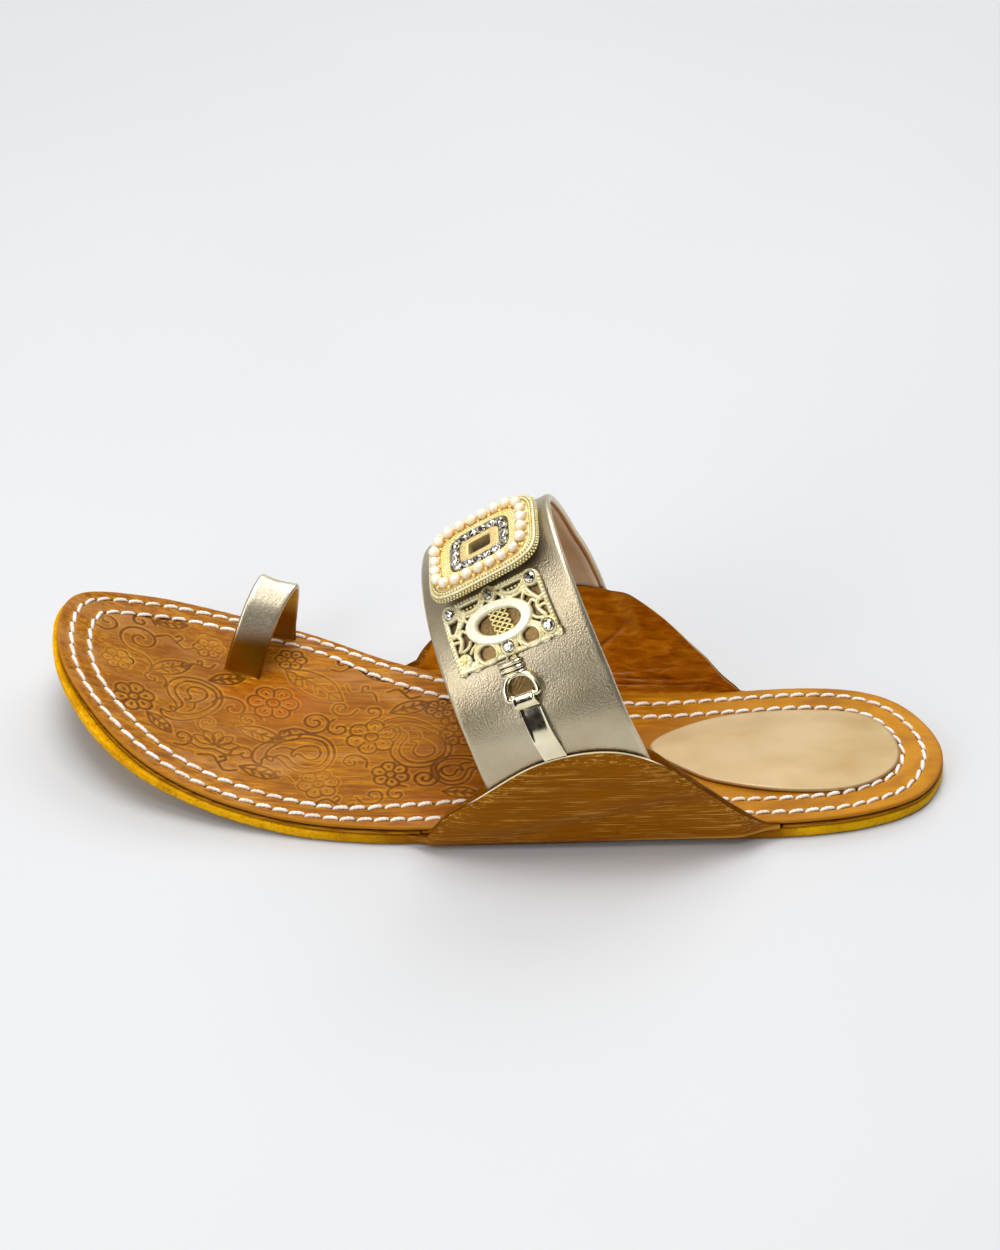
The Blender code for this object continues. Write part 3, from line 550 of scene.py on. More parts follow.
def spokes(curve, fine, coarse, notch):
    """Edge points round a sole outline and the middle-line point that each one's spoke runs to."""
    lines = side_lines(curve)
    xs = np.concatenate((np.arange(FANS[0], FINE_END, fine), np.arange(FINE_END, FANS[1], coarse), [FANS[1]]))
    sides = {}
    for side in (LATERAL, MEDIAL):
        ys = edge_y(side, xs, lines)
        if notch:
            low, high = EAR_SPAN[side]
            inside = (xs > low - GAP) & (xs < high + GAP)
            ys = np.where(inside, edge_y(side, xs) - side * (EAR_TAB + GAP), ys)
        sides[side] = np.column_stack((xs, ys))
    axis = (sides[LATERAL] + sides[MEDIAL]) / 2
    fans = []
    for keep, step in ((curve[:, 0] > FANS[1], coarse), (curve[:, 0] < FANS[0], fine)):
        first = int(np.flatnonzero(keep & ~np.roll(keep, 1))[0])
        part = np.roll(curve, -first, axis=0)[:int(keep.sum())]
        ends = (sides[MEDIAL][0], sides[LATERAL][0])
        if step == coarse:
            ends = (sides[LATERAL][-1], sides[MEDIAL][-1])
        fans.append(resample(np.vstack((ends[0], part, ends[1])), step)[1:-1])
    heel, toe = fans
    edge = np.vstack((sides[LATERAL], heel, sides[MEDIAL][::-1], toe))
    last = len(xs) - 1
    ids = np.concatenate((np.arange(last + 1), np.full(len(heel), last), np.arange(last, -1, -1),
                          np.zeros(len(toe), dtype=int)))
    return edge, axis, ids


def layer(word, curve, z0, profile, inner_steps, paint, shape, fine, coarse, wobble, notch=False):
    """A sole layer: profile rows are (inset, height) from the underside round the edge to the top."""
    edge, axis, ids = spokes(curve, fine, coarse, notch)
    reach = axis[ids] - edge
    length = np.linalg.norm(reach, axis=1)
    count = len(edge)
    wave = sum(np.sin(circle(count) * k + phase) * size for k, phase, size in EDGE_WAVES)
    top_inset, top = profile[-1]
    rows = [(np.full(count, inset) + wobble * wave, height) for inset, height in profile]
    rows += [(lerp(top_inset, length, k / inner_steps), top) for k in range(1, inner_steps)]
    verts, insets, tops = [], [], []
    for k, (inset, height) in enumerate(rows):
        spot = edge + reach * (inset / length)[:, None]
        verts.append(np.column_stack((spot, spring(spot[:, 0]) + z0 + height)))
        insets.append(inset)
        tops.append(np.full(count, float(k >= len(profile) - 4)))
    for height, flag in ((top, 1.0), (profile[0][1], 0.0)):
        verts.append(np.column_stack((axis, spring(axis[:, 0]) + z0 + height)))
        insets.append(np.full(len(axis), 30.0))
        tops.append(np.full(len(axis), flag))
    verts, insets, tops = np.vstack(verts), np.concatenate(insets), np.concatenate(tops)
    faces = skin(len(rows), count)
    last_row, top_axis = (len(rows) - 1) * count, len(rows) * count
    for k in range(count):
        n = (k + 1) % count
        for first, second, row, base in ((k, n, last_row, top_axis), (n, k, 0, top_axis + len(axis))):
            i, j = ids[first], ids[second]
            face = (row + first, row + second) + ((base + j, base + i) if i != j else (base + i,))
            faces.append(tuple(int(v) for v in face))
    make_piece("sole_" + word, verts, faces, paint, word + "_leather", nodes=(word,),
               attrs=shape(verts, insets, tops), angle=40.0)


def row_inset(table, x):
    return np.interp(x, [p[0] for p in table], [p[1] for p in table])


OUTER_ROW = ((-131, 5.6), (-112, 4.8), (-98, 4.0), (-60, 2.9), (-45, 2.8), (-25, 3.8), (-10, 4.4),
             (45, 5.2), (62, 4.2), (100, 3.8), (118, 4.6), (130, 5.8))
INNER_ROW = ((-131, 10.7), (-112, 10.5), (-98, 9.2), (-62, 7.9), (-45, 7.2), (-27, 9.6), (-10, 11.3),
             (45, 11.2), (64, 10.0), (100, 9.7), (118, 10.8), (130, 11.9))
STITCH_PITCH = (5.0, 4.6)       # at the toe, at the heel
STITCH_SHARE, STITCH_RADIUS, STITCH_SUNK, STITCH_ARCH = 0.90, 0.58, 0.47, 0.66
STITCH_STEPS, STITCH_SIDES, STITCH_SLANT = 12, 10, 0.34
FOOT_GAP = (5.6, 1.5)           # half size of the place under a foot of the toe loop that has no stitch


def stitch_path(table):
    """Closed line of a stitch row, inset from the sole's outline."""
    curve = OUTLINE_CURVE
    return resample(curve + inward(curve) * row_inset(table, curve[:, 0])[:, None], 0.5, closed=True)


def nearest(points, line, closed=False):
    """Distance from each point to a polyline."""
    a = line if closed else line[:-1]
    b = np.roll(line, -1, axis=0) if closed else line[1:]
    best = np.full(len(points), 1e9)
    for p, q in zip(a, b):
        run = q - p
        share = np.clip(((points - p) @ run) / max(run @ run, 1e-12), 0.0, 1.0)
        best = np.minimum(best, np.linalg.norm(points - p - share[:, None] * run, axis=1))
    return best


# ---- embossed pattern -------------------------------------------------------------------------
PAISLEY = ((0.0, -0.56), (0.36, -0.44), (0.50, -0.12), (0.40, 0.12), (0.24, 0.28), (0.19, 0.44),
           (0.28, 0.56), (0.42, 0.56), (0.36, 0.70), (0.12, 0.72), (-0.16, 0.54), (-0.38, 0.24),
           (-0.48, -0.10), (-0.36, -0.42))


def polar(angle):
    return np.array((math.cos(angle), math.sin(angle)))


def ring_line(radius, bumps=0, depth=0.0, steps=48):
    turn = np.linspace(0.0, 2.0 * math.pi, steps + 1)
    r = radius * (1.0 - depth + depth * np.abs(np.cos(bumps * turn / 2)) ** 0.6) if bumps else radius
    return np.column_stack((r * np.cos(turn), r * np.sin(turn)))


def paisley():
    whole = curve_through(PAISLEY, 4, closed=True)
    whole = np.vstack((whole, whole[:1]))
    inner = whole * 0.76 + (-0.02, -0.035)
    core = whole * 0.36 + (-0.03, -0.13)
    vein = curve_through(((-0.06, 0.12), (-0.08, 0.26), (-0.01, 0.38)), 4)
    return [whole, inner, core, vein]


def flower(petals=6):
    lines = [ring_line(0.5, petals, 0.30, 72), ring_line(0.13, steps=14)]
    for k in range(petals):
        way, spot = polar(2.0 * math.pi * (k + 0.5) / petals), polar(2.0 * math.pi * k / petals) * 0.29
        lines += [np.array((way * 0.20, way * 0.37)), np.array((spot * 0.92, spot * 1.12))]
    return lines


def swirl(turns=1.6):
    t = np.linspace(0.0, 1.0, 44)
    r = 0.5 * (1.0 - 0.86 * t)
    angle = 2.0 * math.pi * turns * t
    core = np.column_stack((r * np.cos(angle), r * np.sin(angle)))
    tail = curve_through(((0.5, 0.0), (0.47, -0.30), (0.62, -0.55), (0.86, -0.62)), 5)
    return [core, tail]


def leaf(veins=3):
    up = curve_through(((-0.5, 0.0), (-0.2, 0.19), (0.18, 0.20), (0.5, 0.0)), 6)
    lines = [up, up * (1, -0.9), curve_through(((-0.42, 0.0), (0.0, 0.025), (0.42, 0.0)), 4)]
    for k in range(veins):
        x = lerp(-0.22, 0.24, k / max(veins - 1, 1))
        lines += [np.array(((x, 0.01), (x + 0.12, 0.12))), np.array(((x, 0.01), (x + 0.12, -0.11)))]
    return lines


def curl():
    return [curve_through(((-0.5, -0.28), (-0.1, -0.5), (0.38, -0.32), (0.5, 0.08), (0.25, 0.38),
                           (-0.06, 0.28), (-0.08, 0.02), (0.12, -0.04)), 5)]


def lotus():
    lines = [curve_through(((-0.8, -0.35), (-0.4, -0.5), (0.0, -0.4), (0.4, -0.5), (0.8, -0.35)), 5)]
    for k in range(5):
        angle = math.radians(lerp(160.0, 20.0, k / 4))
        way = polar(angle)
        across = np.array((-way[1], way[0]))
        foot = way * 0.08 - (0.0, 0.25)
        lines.append(curve_through((foot, foot + way * 0.35 + across * 0.16, foot + way * 0.66,
                                    foot + way * 0.35 - across * 0.16, foot), 4))
    return lines


def tendril():
    return [curve_through(((-0.5, -0.1), (-0.25, 0.12), (0.0, 0.0), (0.25, -0.14), (0.5, 0.05)), 5),
            curve_through(((0.0, 0.0), (0.10, 0.20), (0.0, 0.28), (-0.06, 0.18)), 4)]


# the footbed's motifs: x, y, size, turn in degrees, mirrored
PATTERN = {
    paisley: ((-89, 9, 16.5, 170, 0), (-57, -9, 18, 84, 1), (-22.5, -4.5, 18.5, 18, 1),
        (-11.5, -15.5, 13, -60, 0), (12, -3, 15, 150, 0)),
    flower: ((-111.5, 18, 9, 10, 0), (-105.5, 3.5, 12, 25, 0), (-86.5, 33.5, 9, 5, 0),
        (-66, 12.5, 15, 0, 0), (-51, -22.5, 12, 15, 0), (-36.5, -1.5, 15, 20, 0),
        (-30.5, -18, 11, 40, 0), (-62, 33.5, 9.5, 0, 0), (-11, 0, 11, 0, 0), (-16.5, 11.5, 9, 18, 0),
        (4, -20, 11, 0, 0)),
    swirl: ((-106, 30, 13, 70, 1), (-53.5, 5, 10, 250, 0), (-20.5, -19.5, 8, 180, 1)),
    leaf: ((-96.5, 20.5, 14, 32, 0), (-97.5, -5, 10, -42, 0), (-80, 20.5, 11, 20, 0),
        (-54.5, 22, 23, -38, 0), (-69, -2.5, 14, -18, 0), (-68, -19, 12, -16, 0), (-25.5, 12, 13, 22, 0),
        (-36, 27, 10, -28, 0), (0.5, -8, 12, 60, 0), (16, -18, 11, -30, 0), (-10, -26, 11, -6, 0),
        (-98, 41, 10, 12, 0)),
    curl: ((-116.5, 33, 6.5, 20, 0), (-78.5, 8, 9, 200, 1), (-91, -9.5, 6, 30, 0), (-41, -13, 7, 120, 0),
        (-36, -27.5, 7, 340, 0), (-36.5, 9.5, 5, 60, 0), (-47, 32, 6, 10, 0), (2, 6, 8, 90, 0),
        (-100.5, 13.5, 6.5, 110, 0), (-84, -1.5, 6, 300, 1), (-72, 3.5, 6, 160, 0),
        (-60.5, -1, 6, 40, 1), (-46.5, 3, 6.5, 260, 0), (-45, 11.5, 7, 20, 1), (-28, -26, 6, 200, 0),
        (-14, 6.5, 5.5, 80, 1), (-73.5, -12, 6, 220, 1), (-106, 38.5, 6, 150, 0)),
    lotus: ((-81, -8, 9.5, -8, 0),),
    tendril: ((-96, 33, 12, -12, 0), (-80, -17, 12, -28, 0), (-40, 19, 12, -30, 1), (-74, 36, 12, 10, 0),
        (-63, -20.5, 10, -10, 1), (-60, 24.5, 9, -60, 0), (-88, 24.5, 9, 20, 0),
        (-27.5, 18.5, 10, -20, 0), (-46, -30.5, 11, -8, 0)),
}
GROOVE_DEEP, GROOVE_HALF = 0.44, 0.53
# the sunk lines and holes of the stitches, and the leather drawn up beside them
CHANNEL_DEEP, CHANNEL_HALF, HOLE_DEEP, HOLE_HALF, PUCKER_AWAY = 0.28, 0.8, 0.35, 0.50, 1.7


def groove_field(spots):
    """Share of a full groove at each footbed point."""
    field = np.zeros(len(spots))
    rows = [(motif, *row) for motif, places in PATTERN.items() for row in places]
    for motif, x, y, size, turn, mirrored in rows:
        near = np.flatnonzero(np.hypot(spots[:, 0] - x, spots[:, 1] - y) < size * 1.15 + 2.0)
        c, s = polar(math.radians(turn))
        for line in motif():
            path = (line * (1 - 2 * mirrored, 1) * size) @ np.array(((c, s), (-s, c))) + (x, y)
            away = nearest(spots[near], path)
            field[near] = np.maximum(field[near], hump(away, GROOVE_HALF))
    return field


def stitch_ends(path):
    """Pairs of stitch end points along a closed row, longer at the toe."""
    closed = np.vstack((path, path[:1]))
    steps = np.linalg.norm(np.diff(closed, axis=0), axis=1)
    pitch = np.interp(path[:, 0], (-120.0, 60.0), STITCH_PITCH)
    run = np.concatenate(([0.0], np.cumsum(steps / pitch)))
    run *= round(run[-1]) / run[-1]
    pairs = []
    for k in range(int(round(run[-1]))):
        start = k + NOISE.normal(0.0, 0.022)
        ends = (start, start + STITCH_SHARE + NOISE.normal(0.0, 0.025))
        pairs.append([place_at(s, run, closed) for s in ends])
    return pairs


ROW_PATHS = [stitch_path(OUTER_ROW), stitch_path(INNER_ROW)]
ROW_ENDS = [stitch_ends(path) for path in ROW_PATHS]


# orange and scorched patches of the footbed: x, y, half length, half width
SHINE_SPOT, BURN_SPOT = (-66.0, 13.0, 13.0, 9.0), (-13.0, -20.0, 15.0, 24.0)


def insole_shape(verts, insets, tops):
    """Press the pattern, the stitch channels and the holes into the footbed; returns the paint masks, of
    which the holes, the channels and the gap are painted shade.
    """
    spots, (x, y) = verts[:, :2], verts[:, :2].copy().T
    top = tops > 0.5
    rows = [nearest(spots, path[::2], closed=True) for path in ROW_PATHS]
    inner_edge = row_inset(INNER_ROW, x)
    inside = smooth((insets + 1.0 - inner_edge - 0.6) / 1.2)
    between = smooth((insets + 1.0 - row_inset(OUTER_ROW, x) - 1.2) / 1.0) * (1.0 - inside)
    fade = 1.0 - smooth((x - 14.0) / 14.0)
    wear = 0.75 + 0.25 * np.sin(x * 0.11 + 1.0) * np.cos(y * 0.17)
    groove = groove_field(spots) * (inside + 0.45 * between) * fade * wear * top
    # hole: painted shade in the stitch holes
    hole = np.zeros(len(spots))
    for pairs in ROW_ENDS:
        for pair in pairs:
            for end in pair:
                near = np.flatnonzero(np.abs(spots - end).max(axis=1) < 1.2)
                away = np.hypot(*(spots[near] - end).T)
                hole[near] = np.maximum(hole[near], hump(away, HOLE_HALF))
    hole *= top
    # channel: sinks the stitch lines, and its share in the groove mask paints shade beside the threads
    channel = np.maximum(*(hump(row, CHANNEL_HALF) for row in rows)) * top
    pucker = sum(hump(row - PUCKER_AWAY, CHANNEL_HALF) for row in rows) * top * 0.5
    ripple = 0.05 * np.sin(x * 1.3) * np.sin(y * 0.9 + x * 0.2)
    verts[:, 2] += (top * (0.10 * pucker + ripple * 0.6) - GROOVE_DEEP * groove
                    - CHANNEL_DEEP * channel - HOLE_DEEP * hole)
    shine, burn = (np.exp(-(((x - mid_x) / run_x) ** 2 + ((y - mid_y) / run_y) ** 2)) * top
                   for mid_x, mid_y, run_x, run_y in (SHINE_SPOT, BURN_SPOT))
    edge = np.clip(1.4 - insets / 0.9, 0.0, 1.0) * 0.8
    # gap: painted shade along the bottom of the footbed's edge, over the gap to the midsole
    gap = np.clip(1.6 - (verts[:, 2] - spring(x) - INSOLE_Z) / 0.30, 0.0, 1.0)
    heel = smooth((x - 20.0) / 50.0)
    return {"groove": np.clip(groove + 0.42 * channel, 0.0, 1.0), "hole": np.clip(hole, 0.0, 1.0),
            "shine": shine, "burn": burn, "edge": edge, "gap": gap, "heel": heel}


def outsole_shape(verts, insets, tops):
    """Ragged lower edge and the darker band beside the ears."""
    x, y = verts[:, :2].copy().T
    height = verts[:, 2] - spring(x)
    low = np.clip(1.35 - height / 0.8, 0.0, 1.0) * (0.6 + 0.4 * np.sin(x * 2.1 + y * 1.7) * np.sin(x * 0.63))
    ragged = np.clip(0.9 - height, 0.0, 1.0) * (insets < 1.0)
    verts[:, 2] += ragged * 0.22 * (0.5 + 0.5 * np.sin(x * 3.3 + y * 2.0) * np.sin(x * 1.27 - y * 0.9))
    near_ear = (0.6 * smooth((x + 60.0) / 26.0) + 0.4 * smooth((x + 36.0) / 8.0)) * smooth((90.0 - x) / 12.0)
    bulge = hump(x + 110.0, 17.0) * smooth((14.0 - y) / 14.0) * smooth((4.0 - insets) / 3.0)
    verts[:, 0] -= 0.9 * bulge
    verts[:, 1] -= 1.2 * bulge
    return {"low": np.clip(low, 0.0, 1.0), "dark": near_ear * 0.92, "heel": smooth((x - 70.0) / 30.0)}


def midsole_shape(verts, insets, tops):
    height = verts[:, 2] - spring(verts[:, 0]) - MIDSOLE_Z
    # gap: painted shade along the top and bottom of the midsole's edge
    return {"gap": np.clip(np.maximum(0.12 - height, height - 0.92) / 0.2, 0.0, 1.0)}


# each layer's edge from the underside round to the top: inset, height
OUTSOLE_EDGE = ((2.0, 0.0), (0.9, 0.0), (0.45, 0.12), (0.15, 0.45), (0.05, 0.9), (0.0, 1.6), (0.0, 2.3),
                (0.05, 2.9), (0.18, 3.25), (0.42, 3.45), (0.8, 3.5), (1.6, 3.5), (3.0, 3.5), (5.0, 3.5))
MIDSOLE_EDGE = ((1.2, -0.2), (0.2, -0.14), (-0.30, 0.02), (-0.52, 0.25), (-0.58, 0.55), (-0.48, 0.82),
                (-0.1, 1.0), (0.5, 1.12), (1.4, 1.2))
INSOLE_EDGE = ((2.2, 0.0), (0.60, 0.04), (0.26, 0.14), (0.06, 0.34), (0.0, 0.66), (0.05, 0.96), (0.22, 1.19),
               (0.50, 1.33), (0.9, 1.39), (1.35, 1.4))
PAD_EDGE = ((0.9, -0.12), (0.12, -0.1), (0.0, 0.2), (0.0, 0.55), (0.10, 0.85), (0.30, 1.05), (0.6, 1.14),
            (1.0, 1.17))


def build_sole():
    layer("outsole", OUTLINE_CURVE, 0.0, OUTSOLE_EDGE, 5, outsole_paint(), outsole_shape, 0.7, 1.0, 0.16)
    layer("midsole", inset_curve(OUTLINE_CURVE, MIDSOLE_INSET), MIDSOLE_Z, MIDSOLE_EDGE, 3, midsole_paint(),
          midsole_shape, 0.7, 1.0, 0.08, notch=True)
    layer("insole", inset_curve(OUTLINE_CURVE, INSOLE_INSET), INSOLE_Z, INSOLE_EDGE, 96, insole_paint(),
          insole_shape, 0.47, 1.5, 0.08)


def build_stitches(paint):
    """Two rows of twisted thread; each stitch arches out of one hole and into the next."""
    feet = [loop_line()[0][k][:2] for k in (0, -1)]
    turn = circle(STITCH_SIDES)
    for word, pairs in zip(("outer", "inner"), ROW_ENDS):
        row = Joined()
        for start, end in pairs:
            gaps = [(start + end) / 2 - foot for foot in feet]
            if any(np.hypot(*gap) < FOOT_GAP[0] and abs(gap @ LOOP_ACROSS[:2]) < FOOT_GAP[1] for gap in gaps):
                continue
            along = unit(end - start)
            side = np.array((-along[1], along[0], 0.0))
            slant = STITCH_SLANT + NOISE.normal(0.0, 0.05)
            plump = 1.0 + NOISE.normal(0.0, 0.05)
            twist = NOISE.uniform(0.0, math.pi)
            rings = []
            for t in np.arange(STITCH_STEPS + 1) / STITCH_STEPS:
                flat = lerp(start, end, t) + side[:2] * slant * (t - 0.5) * 2.0
                arch = math.sin(math.pi * t) ** 0.42
                z = float(spring(flat[0])) + FOOTBED_Z - STITCH_SUNK + STITCH_ARCH * arch
                size = STITCH_RADIUS * plump * (0.62 + 0.38 * arch)
                lobes = size * (1.0 + 0.15 * np.cos(2.0 * (turn + twist + 3.6 * math.pi * t)))
                rings.append((*flat, z) + np.outer(lobes * np.cos(turn), side)
                             + np.outer(lobes * np.sin(turn) * 0.85, (0.0, 0.0, 1.0)))
            row.add(*tube_rings(np.array(rings)))
        make_piece("stitch_row_" + word, *row.done(), paint, "insole_leather")


def build_pad():
    """Thin padded heel cushion: rounded rim, gently crowned top, soft dents."""
    curve = resample(curve_through(PAD_OUTLINE, 24, closed=True), 0.8, closed=True)
    middle = curve.mean(axis=0)
    base = FOOTBED_Z + GAP
    reach = middle - curve
    length = np.linalg.norm(reach, axis=1)
    lip, crown, dip = PAD_EDGE[-1][1], 0.28, PAD_EDGE[0][1]
    insets = [np.full(len(curve), inset) for inset, _ in PAD_EDGE]
    insets += [lerp(1.0, length, k / 40) for k in range(1, 40)]
    rises = [height for _, height in PAD_EDGE]
    rises += [lip + crown * smooth((inset - 1.0) / 9.0) for inset in insets[len(PAD_EDGE):]]
    verts = [np.column_stack((curve + reach * (inset / length)[:, None], base + rise + np.zeros(len(curve))))
             for inset, rise in zip(insets, rises)]
    verts = np.vstack(verts + [((*middle, base + lip + crown), (*middle, base + dip))])
    # edge: painted contact shade along the cushion's lower rim
    edge = np.zeros(len(verts))
    edge[:sum(height < 0.5 for _, height in PAD_EDGE) * len(curve)] = 1.0
    top = verts[:, 2] > base + 1.1
    x, y = verts[:, 0], verts[:, 1]
    verts[:, 2] += top * 0.03 * np.sin(x * 0.12 + 0.6) * np.cos(y * 0.15)
    count = len(curve)
    faces = skin(len(insets), count)
    last, tip = (len(insets) - 1) * count, len(insets) * count
    for k in range(count):
        n = (k + 1) % count
        faces += [(last + k, last + n, tip), (n, k, tip + 1)]
    pad = make_piece("heel_pad_cushion", verts, faces, pad_paint(), "pad_gold", nodes=("heel_pad",),
                     attrs={"edge": edge})


# ---- ears and strap: shared surfaces ----------------------------------------------------------
EAR_ROOT_Z = MIDSOLE_Z + MIDSOLE_THICK / 2
BEND_CENTRE = (0.4, EAR_ROOT_Z + EAR_BEND)
LEAN_ANGLE = math.atan(EAR_LEAN)
EAR_TOP_CURVE = curve_through(EAR_TOP, 16)


def bend(radius, angle):
    """Point of the round foot of the ear's wall, as (out from the sole's edge, z)."""
    return BEND_CENTRE[0] + radius * math.cos(angle), BEND_CENTRE[1] + radius * math.sin(angle)


def wall_out(z):
    knee, knee_z = bend(EAR_BEND, -LEAN_ANGLE)
    return knee + EAR_LEAN * (z - knee_z)


def ear_top(side, x):
    start, end = EAR_SPAN[side]
    return float(np.interp((x - start) / (end - start), EAR_TOP_CURVE[:, 0], EAR_TOP_CURVE[:, 1]))


def drawn_top(side, x):
    """Top of the drawn leather, which is cut a little higher or lower than the plain arch in places."""
    change = sum(rise * math.exp(-((x - middle) / run) ** 2) for rise, middle, run in EAR_TRIM[side])
    start, end = EAR_SPAN[side]
    return ear_top(side, x) + change * float(smooth((x - start) / 8.0) * smooth((end - x) / 3.0))


def strap_edge(edge, sweep):
    middle, half, rise, foot_x, lean, bend, skew, end_z = STRAP_EDGES[edge]
    if 0.0 <= sweep <= 180.0:
        angle = math.radians(sweep)
        y = middle - half * math.cos(angle)
        z = STRAP_FOOT_Z + rise * math.sin(angle)
    else:
        side = LATERAL if sweep < 0.0 else MEDIAL
        depth = (-sweep if sweep < 0.0 else sweep - 180.0) / STRAP_LEG
        y = middle + side * half
        z = lerp(STRAP_FOOT_Z, end_z, depth)
    above = z - STRAP_FOOT_Z
    x = foot_x - lean * above - bend * max(above, 0.0) ** 2 + skew * (y - middle)
    return np.array((x, y, z))


def strap_point(sweep, across):
    point = lerp(strap_edge("front", sweep), strap_edge("rear", sweep), across)
    if sweep < 60.0 or sweep > 120.0:
        side = LATERAL if sweep < 90.0 else MEDIAL
        pocket = edge_y(side, point[0]) + side * (wall_out(point[2]) + EAR_THICK / 2 + GAP + STRAP_THICK)
        above, run = STRAP_BLEND
        start = ear_top(side, point[0]) + above
        point[1] = lerp(pocket, point[1], float(smooth((point[2] - start) / run)))
    return point


def strap_frame(sweep, across):
    """A place on the strap's face, with its directions along, across and out."""
    point = strap_point(sweep, across)
    along = unit(strap_point(sweep + 0.5, across) - strap_point(sweep - 0.5, across))
    width = strap_point(sweep, across + 0.02) - strap_point(sweep, across - 0.02)
    out = unit(np.cross(unit(width), along))
    return point, along, unit(np.cross(along, out)), out


def strap_sections(profile, sweeps):
    """Closed sections of the strap; profile rows are (distance from the front edge, depth below the face)."""
    columns = np.linspace(0.0, 1.0, 31)
    at, depth = np.array([p[0] for p in profile]) / STRAP_BREADTH, np.array([p[1] for p in profile])
    rings = []
    for sweep in sweeps:
        points, _, _, outs = (np.array(rows) for rows in zip(*(strap_frame(sweep, a) for a in columns)))
        rings.append(spread(at, columns, points) - spread(at, columns, outs) * depth[:, None])
    return np.array(rings)


def trim_contacts():
    """Points under the trim, where it keeps light off the strap."""
    width, length = PLAQUE_WIDTH / 2 - 1.0, PLAQUE_LENGTH / 2 - 1.0
    fields = ((PLAQUE_PATCH, np.linspace(-width, width, 24), np.linspace(-length, length, 16) + PLAQUE_RAISE),
              (RING_PATCH, np.linspace(-2.8, 2.8, 8), np.linspace(0.5, 4.5, 6)))
    return [Patch(side, *patch).lay([(u, v, 0.0) for u in us for v in vs])
            for side, _ in SIDES for patch, us, vs in fields]


LINING_INSET, CONTACT_REACH = 2.3, 1.6
LEG_STEP, ARCH_STEP = 1.6, 1.2          # degrees between sections in the legs and over the arch
QUARTER_TURN = np.linspace(0.0, math.pi / 2, 7)


def build_strap():
    sweeps = np.concatenate((np.arange(-STRAP_LEG, 0.0, LEG_STEP), np.arange(0.0, 180.01, ARCH_STEP),
                             np.arange(180.0 + LEG_STEP, 180.0 + STRAP_LEG, LEG_STEP)))
    half, wide = STRAP_THICK / 2, STRAP_BREADTH
    low, high = LINING_INSET, wide - LINING_INSET
    turn = [(half * (1.0 - math.sin(a)), half * (1.0 - math.cos(a))) for a in QUARTER_TURN]
    profile = [(float(s), 0.0) for s in np.linspace(half, wide - half, 40)]
    profile += [(wide - s, d) for s, d in turn[1:]]
    profile += [(wide - s, STRAP_THICK - d) for s, d in reversed(turn[:-1])]
    profile += [(high, STRAP_THICK), (high - 0.2, 1.5), (wide / 2, 1.5), (low + 0.2, 1.5), (low, STRAP_THICK)]
    profile += [(s, STRAP_THICK - d) for s, d in turn[:-1]] + [(s, d) for s, d in reversed(turn[1:])]
    verts, faces = tube_rings(strap_sections(profile, sweeps))
    edge = np.array([max(0.0, 1.0 - min(s, wide - s) / 1.2) for s, _ in profile])
    shade = np.zeros(len(verts))
    for spots in trim_contacts():
        for k in range(0, len(verts), 2000):
            away = np.linalg.norm(verts[k:k + 2000, None] - spots[None], axis=2).min(axis=1)
            soft = 1.0 - smooth((away - 0.4 * CONTACT_REACH) / (0.6 * CONTACT_REACH))
            shade[k:k + 2000] = np.maximum(shade[k:k + 2000], soft)
    make_piece("strap_leather", verts, faces, strap_paint(), "strap_champagne", nodes=("instep_strap",),
               attrs={"edge": np.tile(edge, len(sweeps)), "shade": shade}, angle=60.0)
    # the lining fills the fold that runs along both edges on the inside
    lift, low, high = STRAP_THICK + 0.16, low - 0.5, high + 0.5
    profile = [(high, 1.7), (high + 0.05, lift - 0.3), (high - 0.04, lift - 0.08)]
    profile += [(float(s), lift) for s in np.linspace(high - 0.25, low + 0.25, 24)]
    profile += [(low + 0.04, lift - 0.08), (low - 0.05, lift - 0.3), (low, 1.7)]
    verts, faces = tube_rings(strap_sections(profile, sweeps))
    cut = [float(min(abs(s - low), abs(s - high)) < 0.3) for s, _ in profile]
    make_piece("strap_lining", verts, faces, lining_paint(), "strap_champagne",
               attrs={"cut": np.tile(cut, len(sweeps))}, angle=60.0)


def strap_reach(side, z):
    """x of the strap's front and rear edges inside the ear."""
    sweep = -0.5 * STRAP_LEG if side == LATERAL else 180.0 + 0.5 * STRAP_LEG
    ends = {edge: strap_edge(edge, sweep) for edge in STRAP_EDGES}
    return [ends[edge][0] - STRAP_EDGES[edge][4] * (z - ends[edge][2]) for edge in STRAP_EDGES]


def pocket_swell(side, x, z):
    """Share of the strap's thickness by which the ear stands out over it."""
    front_x, rear_x = strap_reach(side, z)
    share = min(max((x - front_x) / (rear_x - front_x), 0.0), 1.0)
    end_z = lerp(STRAP_EDGES["front"][-1], STRAP_EDGES["rear"][-1], share)
    (margin, ramp), (end_margin, end_ramp) = POCKET_SLOPE
    before = smooth((x - front_x + margin + ramp) / ramp)
    behind = smooth((rear_x + end_margin + end_ramp - x) / end_ramp)
    below = smooth((z - end_z + POCKET_MARGIN + POCKET_RAMP) / POCKET_RAMP)
    return float(before * behind * below)


